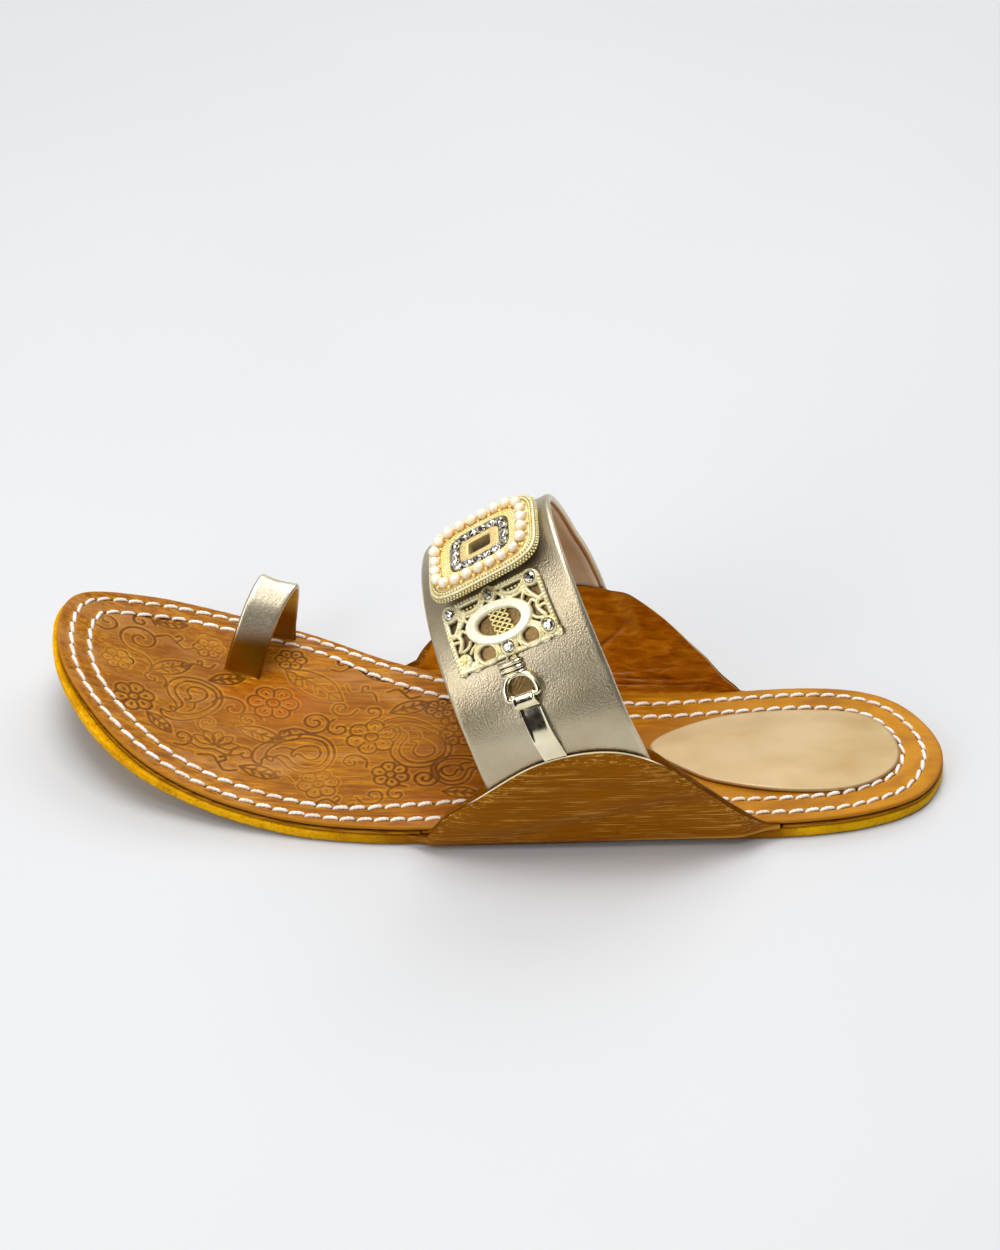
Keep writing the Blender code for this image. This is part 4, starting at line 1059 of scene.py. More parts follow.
# folds in the leather where the wall bends: height, depth, half height, x of the middle, half length, slope
CREASES = ((7.9, 0.55, 0.42, 43.0, 24.0, 0.0), (8.9, -0.45, 0.42, 42.0, 22.0, 0.0),
           (9.9, 0.55, 0.40, 38.0, 20.0, -0.01), (11.0, -0.40, 0.50, 36.0, 15.0, 0.0),
           (12.2, 0.40, 0.45, 32.0, 8.0, -0.05), (13.0, 0.42, 0.50, 43.0, 8.0, 0.20),
           (11.8, -0.34, 0.60, 47.0, 8.0, -0.20), (13.4, 0.26, 0.50, 51.0, 4.0, 0.28),
           (22.5, -0.40, 0.60, 31.0, 2.6, 1.1), (22.5, 0.38, 0.60, 33.0, 2.8, 1.1),
           (26.5, 0.32, 0.60, 36.5, 2.2, 0.7))


def crease(side, x, z):
    """Soft folds that run along the foot of the wall."""
    total = 0.0
    for height, deep, half, middle, run, slope in CREASES:
        height += 0.25 * math.sin(0.35 * x + 2.0 * height) + (x - middle) * slope
        total += deep * math.exp(-((z - height) / half) ** 2) * math.exp(-((x - middle) / run) ** 2)
    return total * (1.0 if side == MEDIAL else 0.5)


def ear_ring(side, x, centre, outside):
    """Section of one leather at a station, with a crisp cut edge at the top; the ends thin out to a point."""
    start, end = EAR_SPAN[side]
    start -= EAR_REACH * outside
    tip = 1.0 - float(smooth(min((x - start) / 8.3, (end - x) / 13.0)))
    half = lerp(EAR_THICK / 2, 0.18, tip)
    nick = 0.16 * half / (EAR_THICK / 2)
    limit, middle, keep = (0.25, 2.7, 0.35) if outside else (-0.1, 5.0, 0.30)
    if x > (start + end) / 2:
        middle, keep = 5.0, 0.60 if outside else 0.45
    folds = [crease(side, x, z) for _, z in centre]
    folds += [0.0] * 4 + folds[::-1]
    foot = centre[0][1]
    spots = [np.array((lerp(out, min(out, limit), tip), lerp(z, middle + (z - middle) * keep, tip)))
             for out, z in centre]
    normals = []
    for before, after in zip(spots[:1] + spots, spots[1:] + spots[-1:]):
        run = after - before
        run = run / max(np.linalg.norm(run), 1e-9)
        normals.append(np.array((run[1], -run[0])))
    top, normal = spots[-1], normals[-1]
    up = np.array((-normal[1], normal[0]))
    # the leather is skived thinner towards its top edge
    halves = [half * (0.55 + 0.45 * float(smooth((top[1] - s[1]) / 5.0))) for s in spots]
    outer = [s + n * h for s, n, h in zip(spots, normals, halves)]
    inner = [s - n * h for s, n, h in zip(spots, normals, halves)]
    outer[-1], inner[-1] = outer[-1] - up * nick, inner[-1] - up * nick
    half = halves[-1]
    rim = [top + normal * (half - nick * 0.35) - up * nick * 0.25, top + normal * (half - nick),
           top - normal * (half - nick), top - normal * (half - nick * 0.35) - up * nick * 0.25]
    ring = outer + rim + inner[::-1]
    bare = 0.0
    if side == MEDIAL:
        bare = 0.75 * float(smooth((x - 38.0) / 8.0))
    elif outside:
        bare = float(smooth((x + 9.0) / 5.0) * smooth((47.0 - x) / 6.0))
    plain = [0.0] * len(outer)
    marks = {
        "cut": plain + [bare, bare, bare, 0.5 * bare] + plain,
        "rim": plain[1:] + [0.4] + [0.9] * 4 + [0.4] + plain[1:],
        "rub": [max(0.0, 1.0 - (top[1] - s[1]) / 7.0) * (1.0 - tip) for s in ring],
        "hem": [math.exp(-((s[1] - foot - 2.3) / 0.45) ** 2) * smooth((x - 25.0) / 20.0) for s in ring],
        # base: painted shade along the foot of the leather
        "base": [(1.0 - smooth((s[1] - foot - 0.7) / 0.6)) * smooth((x + 20.0) / 30.0) for s in ring],
        # painted shade in the creases' hollows and painted highlight along their ridges
        "fold": np.clip(-np.array(folds) * 2.6 - 0.15, 0.0, 0.8),
        "crest_highlight": np.clip(np.array(folds) * 2.6 - 0.35, 0.0, 0.9),
    }
    y0 = float(edge_y(side, x))
    return [(x, y0 + side * out, z) for out, z in ring], marks


def inner_follow(side, x, z):
    """Before and behind the strap the inner leather leans out to meet the outer one."""
    front_x, rear_x = strap_reach(side, z)
    clear = smooth(max(front_x - x - 0.5, x - rear_x - 0.5) / 6.0)
    return float(0.95 * clear * (STRAP_THICK + GAP) * pocket_swell(side, x, z))


def inner_centre(side, x, steps):
    top = drawn_top(side, x) + EAR_RISE_DRAWN
    line = [(-EAR_TAB, EAR_ROOT_Z), (-0.5 * EAR_TAB, EAR_ROOT_Z)]
    line += [bend(EAR_BEND, lerp(-math.pi / 2, -LEAN_ANGLE, k / 6)) for k in range(7)]
    knee_z = line[-1][1]
    for k in range(1, steps + 1):
        z = lerp(knee_z, max(top, knee_z + 0.5), k / steps)
        line.append((wall_out(z) + crease(side, x, z) * 0.8 + inner_follow(side, x, z), z))
    return line


def outer_centre(side, x, steps):
    top = drawn_top(side, x) - (2.9 * math.exp(-((x - 33.0) / 15.0) ** 2) if side == MEDIAL else 0.0)
    stand = EAR_THICK + GAP
    radius = EAR_BEND + stand
    start, end = EAR_SPAN[side]
    hem = lerp(*EAR_HEM_DRAWN, (x - start) / (end - start))
    line = [(GAP + EAR_THICK / 2, hem), (GAP + EAR_THICK / 2 + 0.10, hem + 0.3)]
    line += [bend(radius, math.radians(degrees)) for degrees in (-30.0, -26.0, -22.0)]
    knee_z = bend(radius, -LEAN_ANGLE)[1]
    for k in range(steps + 2):
        z = lerp(knee_z, max(top, knee_z + 0.8), k / (steps + 1))
        swell = (STRAP_THICK + GAP) * pocket_swell(side, x, z)
        line.append((wall_out(z) + stand + swell + 0.3 * crease(side, x, z), z))
    return line


EAR_STATIONS, EAR_STEPS = 200, 56


def build_ears(paint):
    for side, word in SIDES:
        start, end = EAR_SPAN[side]
        for part, centre in (("inner", inner_centre), ("outer", outer_centre)):
            xs = np.linspace(start - EAR_REACH * (part == "outer"), end, EAR_STATIONS)
            rings, marks = zip(*(ear_ring(side, float(x), centre(side, float(x), EAR_STEPS), part == "outer")
                                 for x in xs))
            attrs = {key: np.concatenate([m[key] for m in marks]) for key in marks[0]}
            make_piece(f"ear_{part}_{word}_leather", *tube_rings(rings), paint[part], "ear_" + part,
                       nodes=(f"ear_{part}_{word}",), attrs=attrs, angle=50.0)


# ---- toe loop ---------------------------------------------------------------------------------
def loop_line():
    """Centre line of the toe loop with its path rows."""
    path = curve_through(LOOP_PATH, 8)
    middle = np.array((*LOOP_MIDDLE, FOOTBED_Z + GAP + float(spring(LOOP_MIDDLE[0]))))
    return [middle + np.array(LOOP_ACROSS) * a + np.array(LOOP_UP) * h for a, h, _, _ in path], path


def build_loop(paint):
    line, path = loop_line()
    floor = FOOTBED_Z + GAP - 0.25
    half, thick, soft = LOOP_WIDTH / 2, LOOP_THICK / 2, LOOP_SOFT
    corner = [(half - soft + soft * math.sin(a), thick - soft + soft * math.cos(a))
              for a in np.linspace(0.0, math.pi / 2, 5)]
    flat = [(w, thick) for w in np.linspace(-(half - soft), half - soft, 13)][1:-1]
    profile = flat + corner + [(w, -t) for w, t in reversed(corner)]
    profile += [(-w, -t) for w, t in flat + corner] + [(-w, t) for w, t in reversed(corner)]
    rings = []
    for k, point in enumerate(line):
        run = unit(line[min(k + 1, len(line) - 1)] - line[max(k - 1, 0)])
        yaw, dip = math.radians(path[k][2]), math.radians(path[k][3])
        broad = np.array((math.cos(yaw) * math.cos(dip), math.sin(yaw) * math.cos(dip), -math.sin(dip)))
        width = unit(broad - run * broad.dot(run))
        out = unit(np.cross(run, width))
        rings.append([point + width * w + out * t for w, t in profile])
    rings = np.array(rings)
    for ring in (rings[0], rings[-1]):
        ring[:, 2] = floor + spring(ring[:, 0])
    crown = rings[len(line) // 2]
    upper = crown[:len(flat), 2].mean() > crown[:, 2].mean()
    inside = [float((t < 0.0) == upper and abs(w) < half - 0.3) for w, t in profile]
    edge = [smooth((abs(w) - half + 0.5) / 0.5) for w, _ in profile]
    verts, faces = tube_rings(rings)
    # foot: painted reflection of the brown insole, growing towards the band's feet
    above = verts[:, 2] - spring(verts[:, 0]) - floor
    make_piece("toe_loop_band", verts, faces, paint, "strap_champagne", nodes=("toe_loop",),
               attrs={"inside": np.tile(inside, len(line)), "edge": np.tile(edge, len(line)),
                      "foot": smooth((17.0 - above) / 8.0)}, angle=60.0)


# ---- metal trim -------------------------------------------------------------------------------
def trim(name, mesh, paint, **settings):
    """One piece of the metal trim from its (vertices, faces)."""
    make_piece(name, *mesh, paint, "trim_gold", **settings)


def ball(radius, around=12, up=7, squash=1.0):
    """Vertices and faces of a small bead."""
    verts = [(0.0, 0.0, -radius * squash)]
    for i in range(1, up):
        tilt = math.pi * i / up - math.pi / 2
        for k in range(around):
            turn = 2.0 * math.pi * k / around
            verts.append((radius * math.cos(tilt) * math.cos(turn), radius * math.cos(tilt) * math.sin(turn),
                          radius * squash * math.sin(tilt)))
    verts.append((0.0, 0.0, radius * squash))
    faces = [tuple(i + 1 for i in face) for face in skin(up - 1, around)]
    top = len(verts) - 1
    for k in range(around):
        n = (k + 1) % around
        faces += [(0, 1 + n, 1 + k), (top, top - around + k, top - around + n)]
    return np.array(verts), faces


# girdle twice, star row and table of a stone: radius, height, corners, turn in corners
STONE_ROWS = ((1.0, -0.35, 16, 0.0), (1.0, 0.0, 16, 0.0), (0.80, 0.34, 8, 0.5), (0.52, 0.52, 8, 0.0))


def cut_stone(radius, turn):
    """A round brilliant's crown: girdle, star facets and table."""
    verts = []
    for r, h, count, shift in STONE_ROWS:
        for k in range(count):
            angle = 2.0 * math.pi * (k + shift) / count + turn
            verts.append((radius * r * math.cos(angle), radius * r * math.sin(angle), radius * h))
    faces = skin(2, 16)
    for k in range(8):
        n, a, c = (k + 1) % 8, 16 + 2 * k, 16 + (2 * k + 2) % 16
        faces += [(a, a + 1, 32 + k), (a + 1, c, 32 + k), (c, 32 + n, 32 + k), (32 + k, 32 + n, 40 + n),
                  (32 + k, 40 + n, 40 + k)]
    return np.array(verts), faces + [tuple(range(40, 48))]


def wire(points, radius, sides=8, closed=False):
    """A round wire along points."""
    points = np.asarray(points, dtype=float)
    count = len(points)
    turn = circle(sides)
    rings = []
    for k in range(count):
        before = points[k - 1] if closed or k > 0 else points[k]
        after = points[(k + 1) % count] if closed or k < count - 1 else points[k]
        run = unit(after - before)
        side = unit(np.cross(run, (0.0, 0.0, 1.0)))
        rings.append(points[k] + np.outer(np.cos(turn) * radius, side)
                     + np.outer(np.sin(turn) * radius, np.cross(side, run)))
    if closed:
        return np.reshape(rings, (-1, 3)), skin(count, sides, closed=True)
    return tube_rings(rings)


def cushion(half_u, half_v, power, steps):
    """Rounded rectangle with softly bowed sides, as (u, v) points."""
    turn = 2.0 * math.pi * (np.arange(steps) + 0.5) / steps
    cos, sin = np.cos(turn), np.sin(turn)
    return np.column_stack((np.sign(cos) * np.abs(cos) ** (2.0 / power) * half_u,
                            np.sign(sin) * np.abs(sin) ** (2.0 / power) * half_v))


def along_cushion(half_u, half_v, power, pitch=None, count=None, shift=0.0):
    """Evenly spaced places on a cushion outline, with the outline's direction there."""
    dense = cushion(half_u, half_v, power, 720)
    loop = np.vstack((dense, dense[:1]))
    run = run_along(loop)
    count = count or int(round(run[-1] / pitch))
    out = []
    for k in range(count):
        distance = (k + shift) / count * run[-1]
        spot = place_at(distance, run, loop)
        out.append((*spot, math.atan2(*(place_at(distance + 0.3, run, loop) - spot)[::-1])))
    return out


# plate of the brooch from its rim to the opening: half width, half length, outline power, height
BROOCH_ROWS = (
    (17.10, 13.40, 4.6, 0.00), (17.40, 13.70, 4.6, 0.25), (17.40, 13.70, 4.6, 1.50),
    (17.32, 13.62, 4.6, 1.95), (17.08, 13.38, 4.6, 2.28), (16.75, 13.05, 4.6, 2.34),
    (16.50, 12.80, 4.6, 2.16), (16.35, 12.65, 4.6, 1.80), (15.75, 12.05, 4.6, 1.80),
    (15.60, 11.90, 4.5, 2.25), (15.40, 11.70, 4.4, 2.42), (15.20, 11.50, 4.3, 2.30),
    (13.00, 9.30, 4.2, 2.40), (12.65, 8.95, 4.2, 2.85), (12.35, 8.70, 4.2, 3.00),
    (9.70, 7.25, 4.6, 3.12), (9.40, 7.00, 4.8, 2.70), (6.60, 4.30, 5.5, 2.70),
    (6.20, 3.95, 6.5, 3.20), (5.95, 3.75, 7.0, 3.36), (4.10, 2.80, 8.0, 3.36),
    (3.70, 2.50, 8.5, 3.22), (3.50, 2.35, 9.0, 2.90), (3.50, 2.35, 9.0, 0.00),
)
# how deep in shadow each row of the plate is drawn, and how warm
BROOCH_DEEP = (0.8, 0.95, 0.95, 0.5, 0.0, 0.0, 0.3, 0.9, 0.9, 0.3, 0.0, 0.6,
               0.8, 0.3, 0.1, 0.2, 0.9, 0.9, 0.3, 0.0, 0.0, 0.0, 0.5, 0.9)
BROOCH_WARM = (0.0,) * 18 + (0.9,) * 5 + (0.0,)
BROOCH_STEPS = 168
AMBER_ROWS = ((15.25, 11.55, 2.36), (14.7, 11.0, 2.62), (13.5, 9.8, 2.66), (12.95, 9.25, 2.45))
GRAIN_ROWS = ((12.15, 8.55), (11.45, 8.15), (10.75, 7.78), (10.05, 7.42))
PEARL, PEARL_COUNT, PEARL_LINE = 1.55, 23, (14.1, 10.4, 4.3)
STONE, STONE_COUNT, STONE_LINE = 1.28, 16, (8.0, 5.6, 5.0)
PEARL_SEAT, STONE_SEAT, CUP_SEAT, PRONG_SEAT = 2.45, 3.30, 3.05, 3.42      # heights on the plate
STONE_LEAN, STONE_STRETCH = 0.10, (1.16, 0.94, 1.0)
CUP_RADIUS, PRONG_RADIUS = 1.34, 1.18


def build_brooch(paint):
    turns = (-BROOCH_PITCH, "Y"), (BROOCH_ROLL, "X"), (BROOCH_TURN, "Z")
    pitch, roll, yaw = (Matrix.Rotation(math.radians(degrees), 3, axis) for degrees, axis in turns)
    turn = np.array(pitch @ roll @ yaw)

    def seat(points):
        return np.array(BROOCH_CENTRE) + np.asarray(points) @ turn.T

    def outline(half_u, half_v, power, height):
        points = cushion(half_u, half_v, power, BROOCH_STEPS)
        return seat(np.column_stack((points, np.full(BROOCH_STEPS, height))))

    def string(group, bead, line, height, stretch=lambda: 1.0, **spacing):
        """Sets one bead at every place along an outline."""
        for u, v, _ in along_cushion(*line, **spacing):
            group.add(seat(bead[0] * (1, 1, stretch()) + (u, v, height)), bead[1])

    verts = np.vstack([outline(*row) for row in BROOCH_ROWS])
    masks = {"deep": np.repeat(BROOCH_DEEP, BROOCH_STEPS), "warm": np.repeat(BROOCH_WARM, BROOCH_STEPS)}
    trim("brooch_plate", (verts, skin(len(BROOCH_ROWS), BROOCH_STEPS, closed=True)), paint["gold"],
         nodes=("brooch",), attrs=masks, angle=50.0)

    grains = Joined()
    string(grains, ball(0.40, 10, 6), (16.05, 12.35, 4.6), 2.10, pitch=0.93)
    for level, shift in ((0.62, 0.0), (1.32, 0.5)):
        string(grains, ball(0.37, 8, 6), (17.34, 13.64, 4.6), level, pitch=0.98, shift=shift)
    for row, halves in enumerate(GRAIN_ROWS):
        string(grains, ball(0.31, 8, 5), (*halves, 4.3), 3.08, lambda: NOISE.uniform(0.8, 1.3), pitch=0.76,
               shift=0.5 * (row % 2))
    trim("brooch_grain", grains.done(), paint["grain"])

    amber = Joined()
    amber.add(np.vstack([outline(u, v, 4.3, h) for u, v, h in AMBER_ROWS]),
              skin(len(AMBER_ROWS), BROOCH_STEPS))
    half_u, half_v, power = PEARL_LINE
    for aside in (0.95, 0.0, -0.95):
        string(amber, ball(0.62, 12, 7), (half_u + aside, half_v + aside, power), 2.85,
               lambda: 1.15 if aside else 0.8, count=PEARL_COUNT, shift=0.5)
    trim("brooch_claws", amber.done(), paint["amber"])

    pearls, under = Joined(), []
    for u, v, _ in along_cushion(*PEARL_LINE, count=PEARL_COUNT):
        size = PEARL * NOISE.uniform(0.94, 1.05)
        drop, faces = ball(size, 28, 16)
        pearls.add(seat(drop + (u, v, PEARL_SEAT + size)), faces)
        # under: painted reflection of the gold plate on each pearl's lower half
        under += list(smooth((0.42 - drop[:, 2] / size) / 0.8))
    trim("brooch_pearls", pearls.done(), paint["pearl"], attrs={"under": under})

    stones, cups = Joined(), Joined()
    for u, v, way in along_cushion(*STONE_LINE, count=STONE_COUNT, shift=0.5):
        lean = [Matrix.Rotation(NOISE.normal(0.0, STONE_LEAN), 3, axis) for axis in "XY"]
        stone, faces = cut_stone(STONE, NOISE.uniform(0.0, 1.0))
        spin = np.array(Matrix.Rotation(way, 3, "Z"))
        stone = stone @ np.array(lean[0] @ lean[1]).T * STONE_STRETCH
        stones.add(seat(stone @ spin.T + (u, v, STONE_SEAT)), faces)
        rim = [(u + CUP_RADIUS * math.cos(a), v + CUP_RADIUS * math.sin(a), CUP_SEAT) for a in circle(20)]
        loop, faces = wire(rim, 0.17, 6, closed=True)
        cups.add(seat(loop), faces)
        prong, faces = ball(0.26, 8, 5, 1.3)
        for k in range(4):
            claw = polar(way + math.pi * (0.25 + 0.5 * k)) * PRONG_RADIUS
            cups.add(seat(prong + (*(claw + (u, v)), PRONG_SEAT)), faces)
    trim("brooch_stones", stones.done(), paint["crystal"], flat=True)
    trim("brooch_cups", cups.done(), paint["silver"])


def side_frame(side, sweep, across):
    point, along, width, out = strap_frame(sweep if side == LATERAL else 180.0 - sweep, across)
    return point, -side * along, width, out


class Patch:
    """The strap's face round a place, as a grid that lays (across, up, height) points on it."""

    def __init__(self, side, place, half_across, low, high, step=1.5):
        self.us = np.arange(-half_across, half_across + step, step)
        self.vs = np.arange(low, high + step, step)
        base, up, width, _ = side_frame(side, *place)
        self.points = np.zeros((len(self.us), len(self.vs), 3))
        self.outs = np.zeros_like(self.points)
        for i, u in enumerate(self.us):
            sweep, across = place
            for j in np.argsort(np.abs(self.vs), kind="stable"):
                for _ in range(5):
                    point = side_frame(side, sweep, across)[0]
                    ahead = (side_frame(side, sweep + 0.5, across)[0] - point) / 0.5
                    aside = (side_frame(side, sweep, across + 0.02)[0] - point) / 0.02
                    split = np.array(((ahead @ up, aside @ up), (ahead @ width, aside @ width)))
                    miss = np.array((self.vs[j] - (point - base) @ up, u - (point - base) @ width))
                    step_back = np.linalg.solve(split, miss)
                    sweep, across = sweep + step_back[0], across + step_back[1]
                    if abs(miss).max() < 1e-3:
                        break
                self.points[i, j], _, _, self.outs[i, j] = side_frame(side, sweep, across)

    def lay(self, spots):
        spots = np.asarray(spots, dtype=float)
        i, j = (np.clip((spots[:, k] - line[0]) / (line[1] - line[0]), 0, len(line) - 1.001)
                for k, line in enumerate((self.us, self.vs)))
        a, b = i.astype(int), j.astype(int)
        s, t = (i - a)[:, None], (j - b)[:, None]

        def blend(grid):
            return lerp(lerp(grid[a, b], grid[a + 1, b], s), lerp(grid[a, b + 1], grid[a + 1, b + 1], s), t)
        return blend(self.points) + unit_rows(blend(self.outs)) * spots[:, 2:3]


PLAQUE_PATCH, RING_PATCH = (PLAQUE_PLACE, 17.0, -12.5, 12.0), (RING_PLACE, 6.5, -7.5, 9.0, 1.0)
CONNECTOR_PATCH = (CONNECTOR_PLACE, 5.0, -4.0, 4.0, 1.0)


def arc(cx, cy, rx, ry, start=0.0, end=360.0, steps=36):
    turn = np.radians(np.linspace(start, end, steps + 1))
    return np.column_stack((cx + rx * np.cos(turn), cy + ry * np.sin(turn)))


# scrollwork of one end of the plaque, mirrored for the other end; the first two lines are the thick ones
SCROLLS = (
    ((12.6, 6.4), (11.0, 5.6), (10.4, 4.6), (11.8, 2.2), (13.2, 0.9)),
    ((14.2, 1.6), (12.4, 0.9), (11.6, -0.4), (11.9, -1.8), (12.8, -3.2)),
    ((9.4, 6.2), (9.2, 4.9), (10.2, 3.3), (11.4, 2.4)), ((9.7, 0.9), (10.8, 1.6), (11.8, 0.4)),
    ((9.3, -1.9), (10.2, -3.0), (11.9, -3.6)), ((11.2, 7.8), (9.8, 7.0), (8.6, 5.4)),
    ((14.3, -0.9), (13.2, -0.6), (12.0, -0.9)), ((8.4, 3.0), (9.0, 4.0), (9.4, 5.0)),
    ((8.2, -3.2), (9.2, -3.8), (10.2, -4.6)), ((3.2, 5.0), (3.0, 6.0), (2.2, 7.0)),
    ((2.4, -5.0), (2.6, -6.2), (2.2, -7.6)),
)
LOW_ROUNDS, HIGH_ROUNDS = (-5.9, 6.9), (-6.5, 6.8)      # x of the round and the half-round openings


def plaque_wires():
    """The plaque's cast lines: path, half width, height."""
    edge = cushion(PLAQUE_WIDTH / 2 - 0.75, PLAQUE_LENGTH / 2 - 0.75, 9.0, 96)
    wires = [(np.vstack((edge, edge[:1])), 0.85, 1.15)]
    for x in LOW_ROUNDS:
        wires += [(arc(x, -6.5, 2.75, 2.5), 0.55, 1.75), (arc(x, -6.5, 3.55, 3.2, -20.0, 200.0), 0.45, 1.45)]
    for x in HIGH_ROUNDS:
        wires += [(arc(x, 7.6, 3.3, 2.1, 178.0, 362.0), 0.55, 1.6),
                  (arc(x, 7.5, 4.1, 3.0, 190.0, 350.0), 0.45, 1.3),
                  (np.array(((x - 3.4, 8.0), (x + 3.4, 8.0))), 0.50, 1.5)]
    for flip in (-1.0, 1.0):
        for k, path in enumerate(SCROLLS):
            wires.append((curve_through(path, 8) * (flip, 1.0), *((0.66, 1.5) if k < 2 else (0.54, 1.25))))
    return wires


PLAQUE_STONES = ((-12.6, 6.9, 1.55), (-0.2, 7.6, 1.5), (12.6, 6.9, 1.55), (0.3, -6.9, 1.5), (12.6, -5.9, 1.6))
PLAQUE_BOSS = (-12.4, -6.0)
PLAQUE_CELL, MILGRAIN, MILGRAIN_PITCH = 0.155, 0.43, 0.98
PLAQUE_GROW, PLAQUE_RAISE = (1.035, 1.05), 0.45     # the trim's face beside the CAD's flat plate
OVAL_OUTER, OVAL_INNER = (9.9, 5.6), (6.3, 2.95)


def dome(gap, radius):
    """Height of a round bead, as a share of its radius, at a distance from its middle."""
    return np.sqrt(np.clip(1.0 - (gap / radius) ** 2, 0.0, 1.0))


def plaque_mesh():
    """Pierced relief as (across, up, height) vertices, faces and cavity marks; the deep mark paints shade
    where the relief is low.
    """
    w, l = PLAQUE_WIDTH / 2, PLAQUE_LENGTH / 2
    us, vs = np.arange(-w - 0.2, w + 0.2, PLAQUE_CELL), np.arange(-l - 0.2, l + 0.2, PLAQUE_CELL)
    spots = np.stack(np.meshgrid(us, vs, indexing="ij"), axis=-1).reshape(-1, 2)
    away, height = np.full(len(spots), 9.0), np.zeros(len(spots))
    for path, half, tall in plaque_wires():
        gap = nearest(spots, path)
        away = np.minimum(away, gap - half)
        height = np.maximum(height, tall * dome(gap, half))
    # the plain oval ring
    tilt = math.radians(-4.0)
    u = (spots[:, 0] - 0.2) * math.cos(tilt) + (spots[:, 1] + 0.1) * math.sin(tilt)
    v = (spots[:, 1] + 0.1) * math.cos(tilt) - (spots[:, 0] - 0.2) * math.sin(tilt)
    band = []
    for wide, tall in (OVAL_OUTER, OVAL_INNER):
        ratio = np.hypot(u / wide, v / tall)
        steep = np.hypot(u / wide ** 2, v / tall ** 2) / np.maximum(ratio, 1e-6)
        band.append((ratio - 1.0) / np.maximum(steep, 1e-6))
    rim_gap = np.maximum(band[0], -band[1])
    away = np.minimum(away, rim_gap)
    height = np.maximum(height, 2.15 * np.clip(-rim_gap / 0.55, 0.0, 1.0) ** 0.45 * (rim_gap < 0.0))
    pale = smooth(-rim_gap / 0.4)
    # discs below the stones, at the boss and in the lower corners
    discs = [(x, y, r + 0.85, 1.05) for x, y, r in PLAQUE_STONES] + [(*PLAQUE_BOSS, 2.1, 1.05)]
    discs += [(s * x, y, r, 1.0) for x, y, r in ((14.0, -8.2, 1.6), (10.2, -8.3, 1.7)) for s in (-1, 1)]
    for x, y, radius, tall in discs:
        gap = np.hypot(spots[:, 0] - x, spots[:, 1] - y)
        away = np.minimum(away, gap - radius)
        height = np.maximum(height, tall * np.sqrt(np.clip((radius - gap) / 0.5, 0.0, 1.0)))
    for x, y, radius in PLAQUE_STONES:
        gap = np.abs(np.hypot(spots[:, 0] - x, spots[:, 1] - y) - radius - 0.38)
        height = np.maximum(height, 2.0 * dome(gap, 0.36))
    # milgrain on the frame
    for axis, limit in ((0, l - 0.55), (1, w - 0.55)):
        run, off = spots[:, axis], np.abs(spots[:, 1 - axis])
        step = (run / MILGRAIN_PITCH - np.floor(run / MILGRAIN_PITCH) - 0.5) * MILGRAIN_PITCH
        gap = np.hypot(step, off - limit)
        bead = 1.0 + 0.62 * dome(gap, MILGRAIN)
        height = np.where((gap < MILGRAIN) & (away < -0.05), np.maximum(height, bead), height)
    # pull the outline's grid points onto the cut edge
    inside = away < 0.0
    shape = (len(us), len(vs))
    slope = np.stack(np.gradient(away.reshape(shape), PLAQUE_CELL), axis=-1).reshape(-1, 2)
    steep = np.maximum((slope ** 2).sum(axis=1), 0.3)
    moved = spots - slope * (np.where(inside, 0.0, np.clip(away, 0.0, 0.25)) / steep)[:, None]

    def corners(grid):
        return grid[:-1, :-1], grid[1:, :-1], grid[1:, 1:], grid[:-1, 1:]
    filled = np.any(corners(inside.reshape(shape)), axis=0)
    quads = np.stack(corners(np.arange(len(spots)).reshape(shape)), axis=-1)[filled]
    used = np.unique(quads)
    renumber = np.full(len(spots), -1)
    renumber[used] = np.arange(len(used))
    verts = np.column_stack((moved, np.where(inside, height, 0.0)))[used]
    # painted shade: darker where the relief sits low
    deep = 1.0 - smooth((height[used] - 0.35) / 0.75)
    return verts, [tuple(int(i) for i in q) for q in renumber[quads]], deep, pale[used]


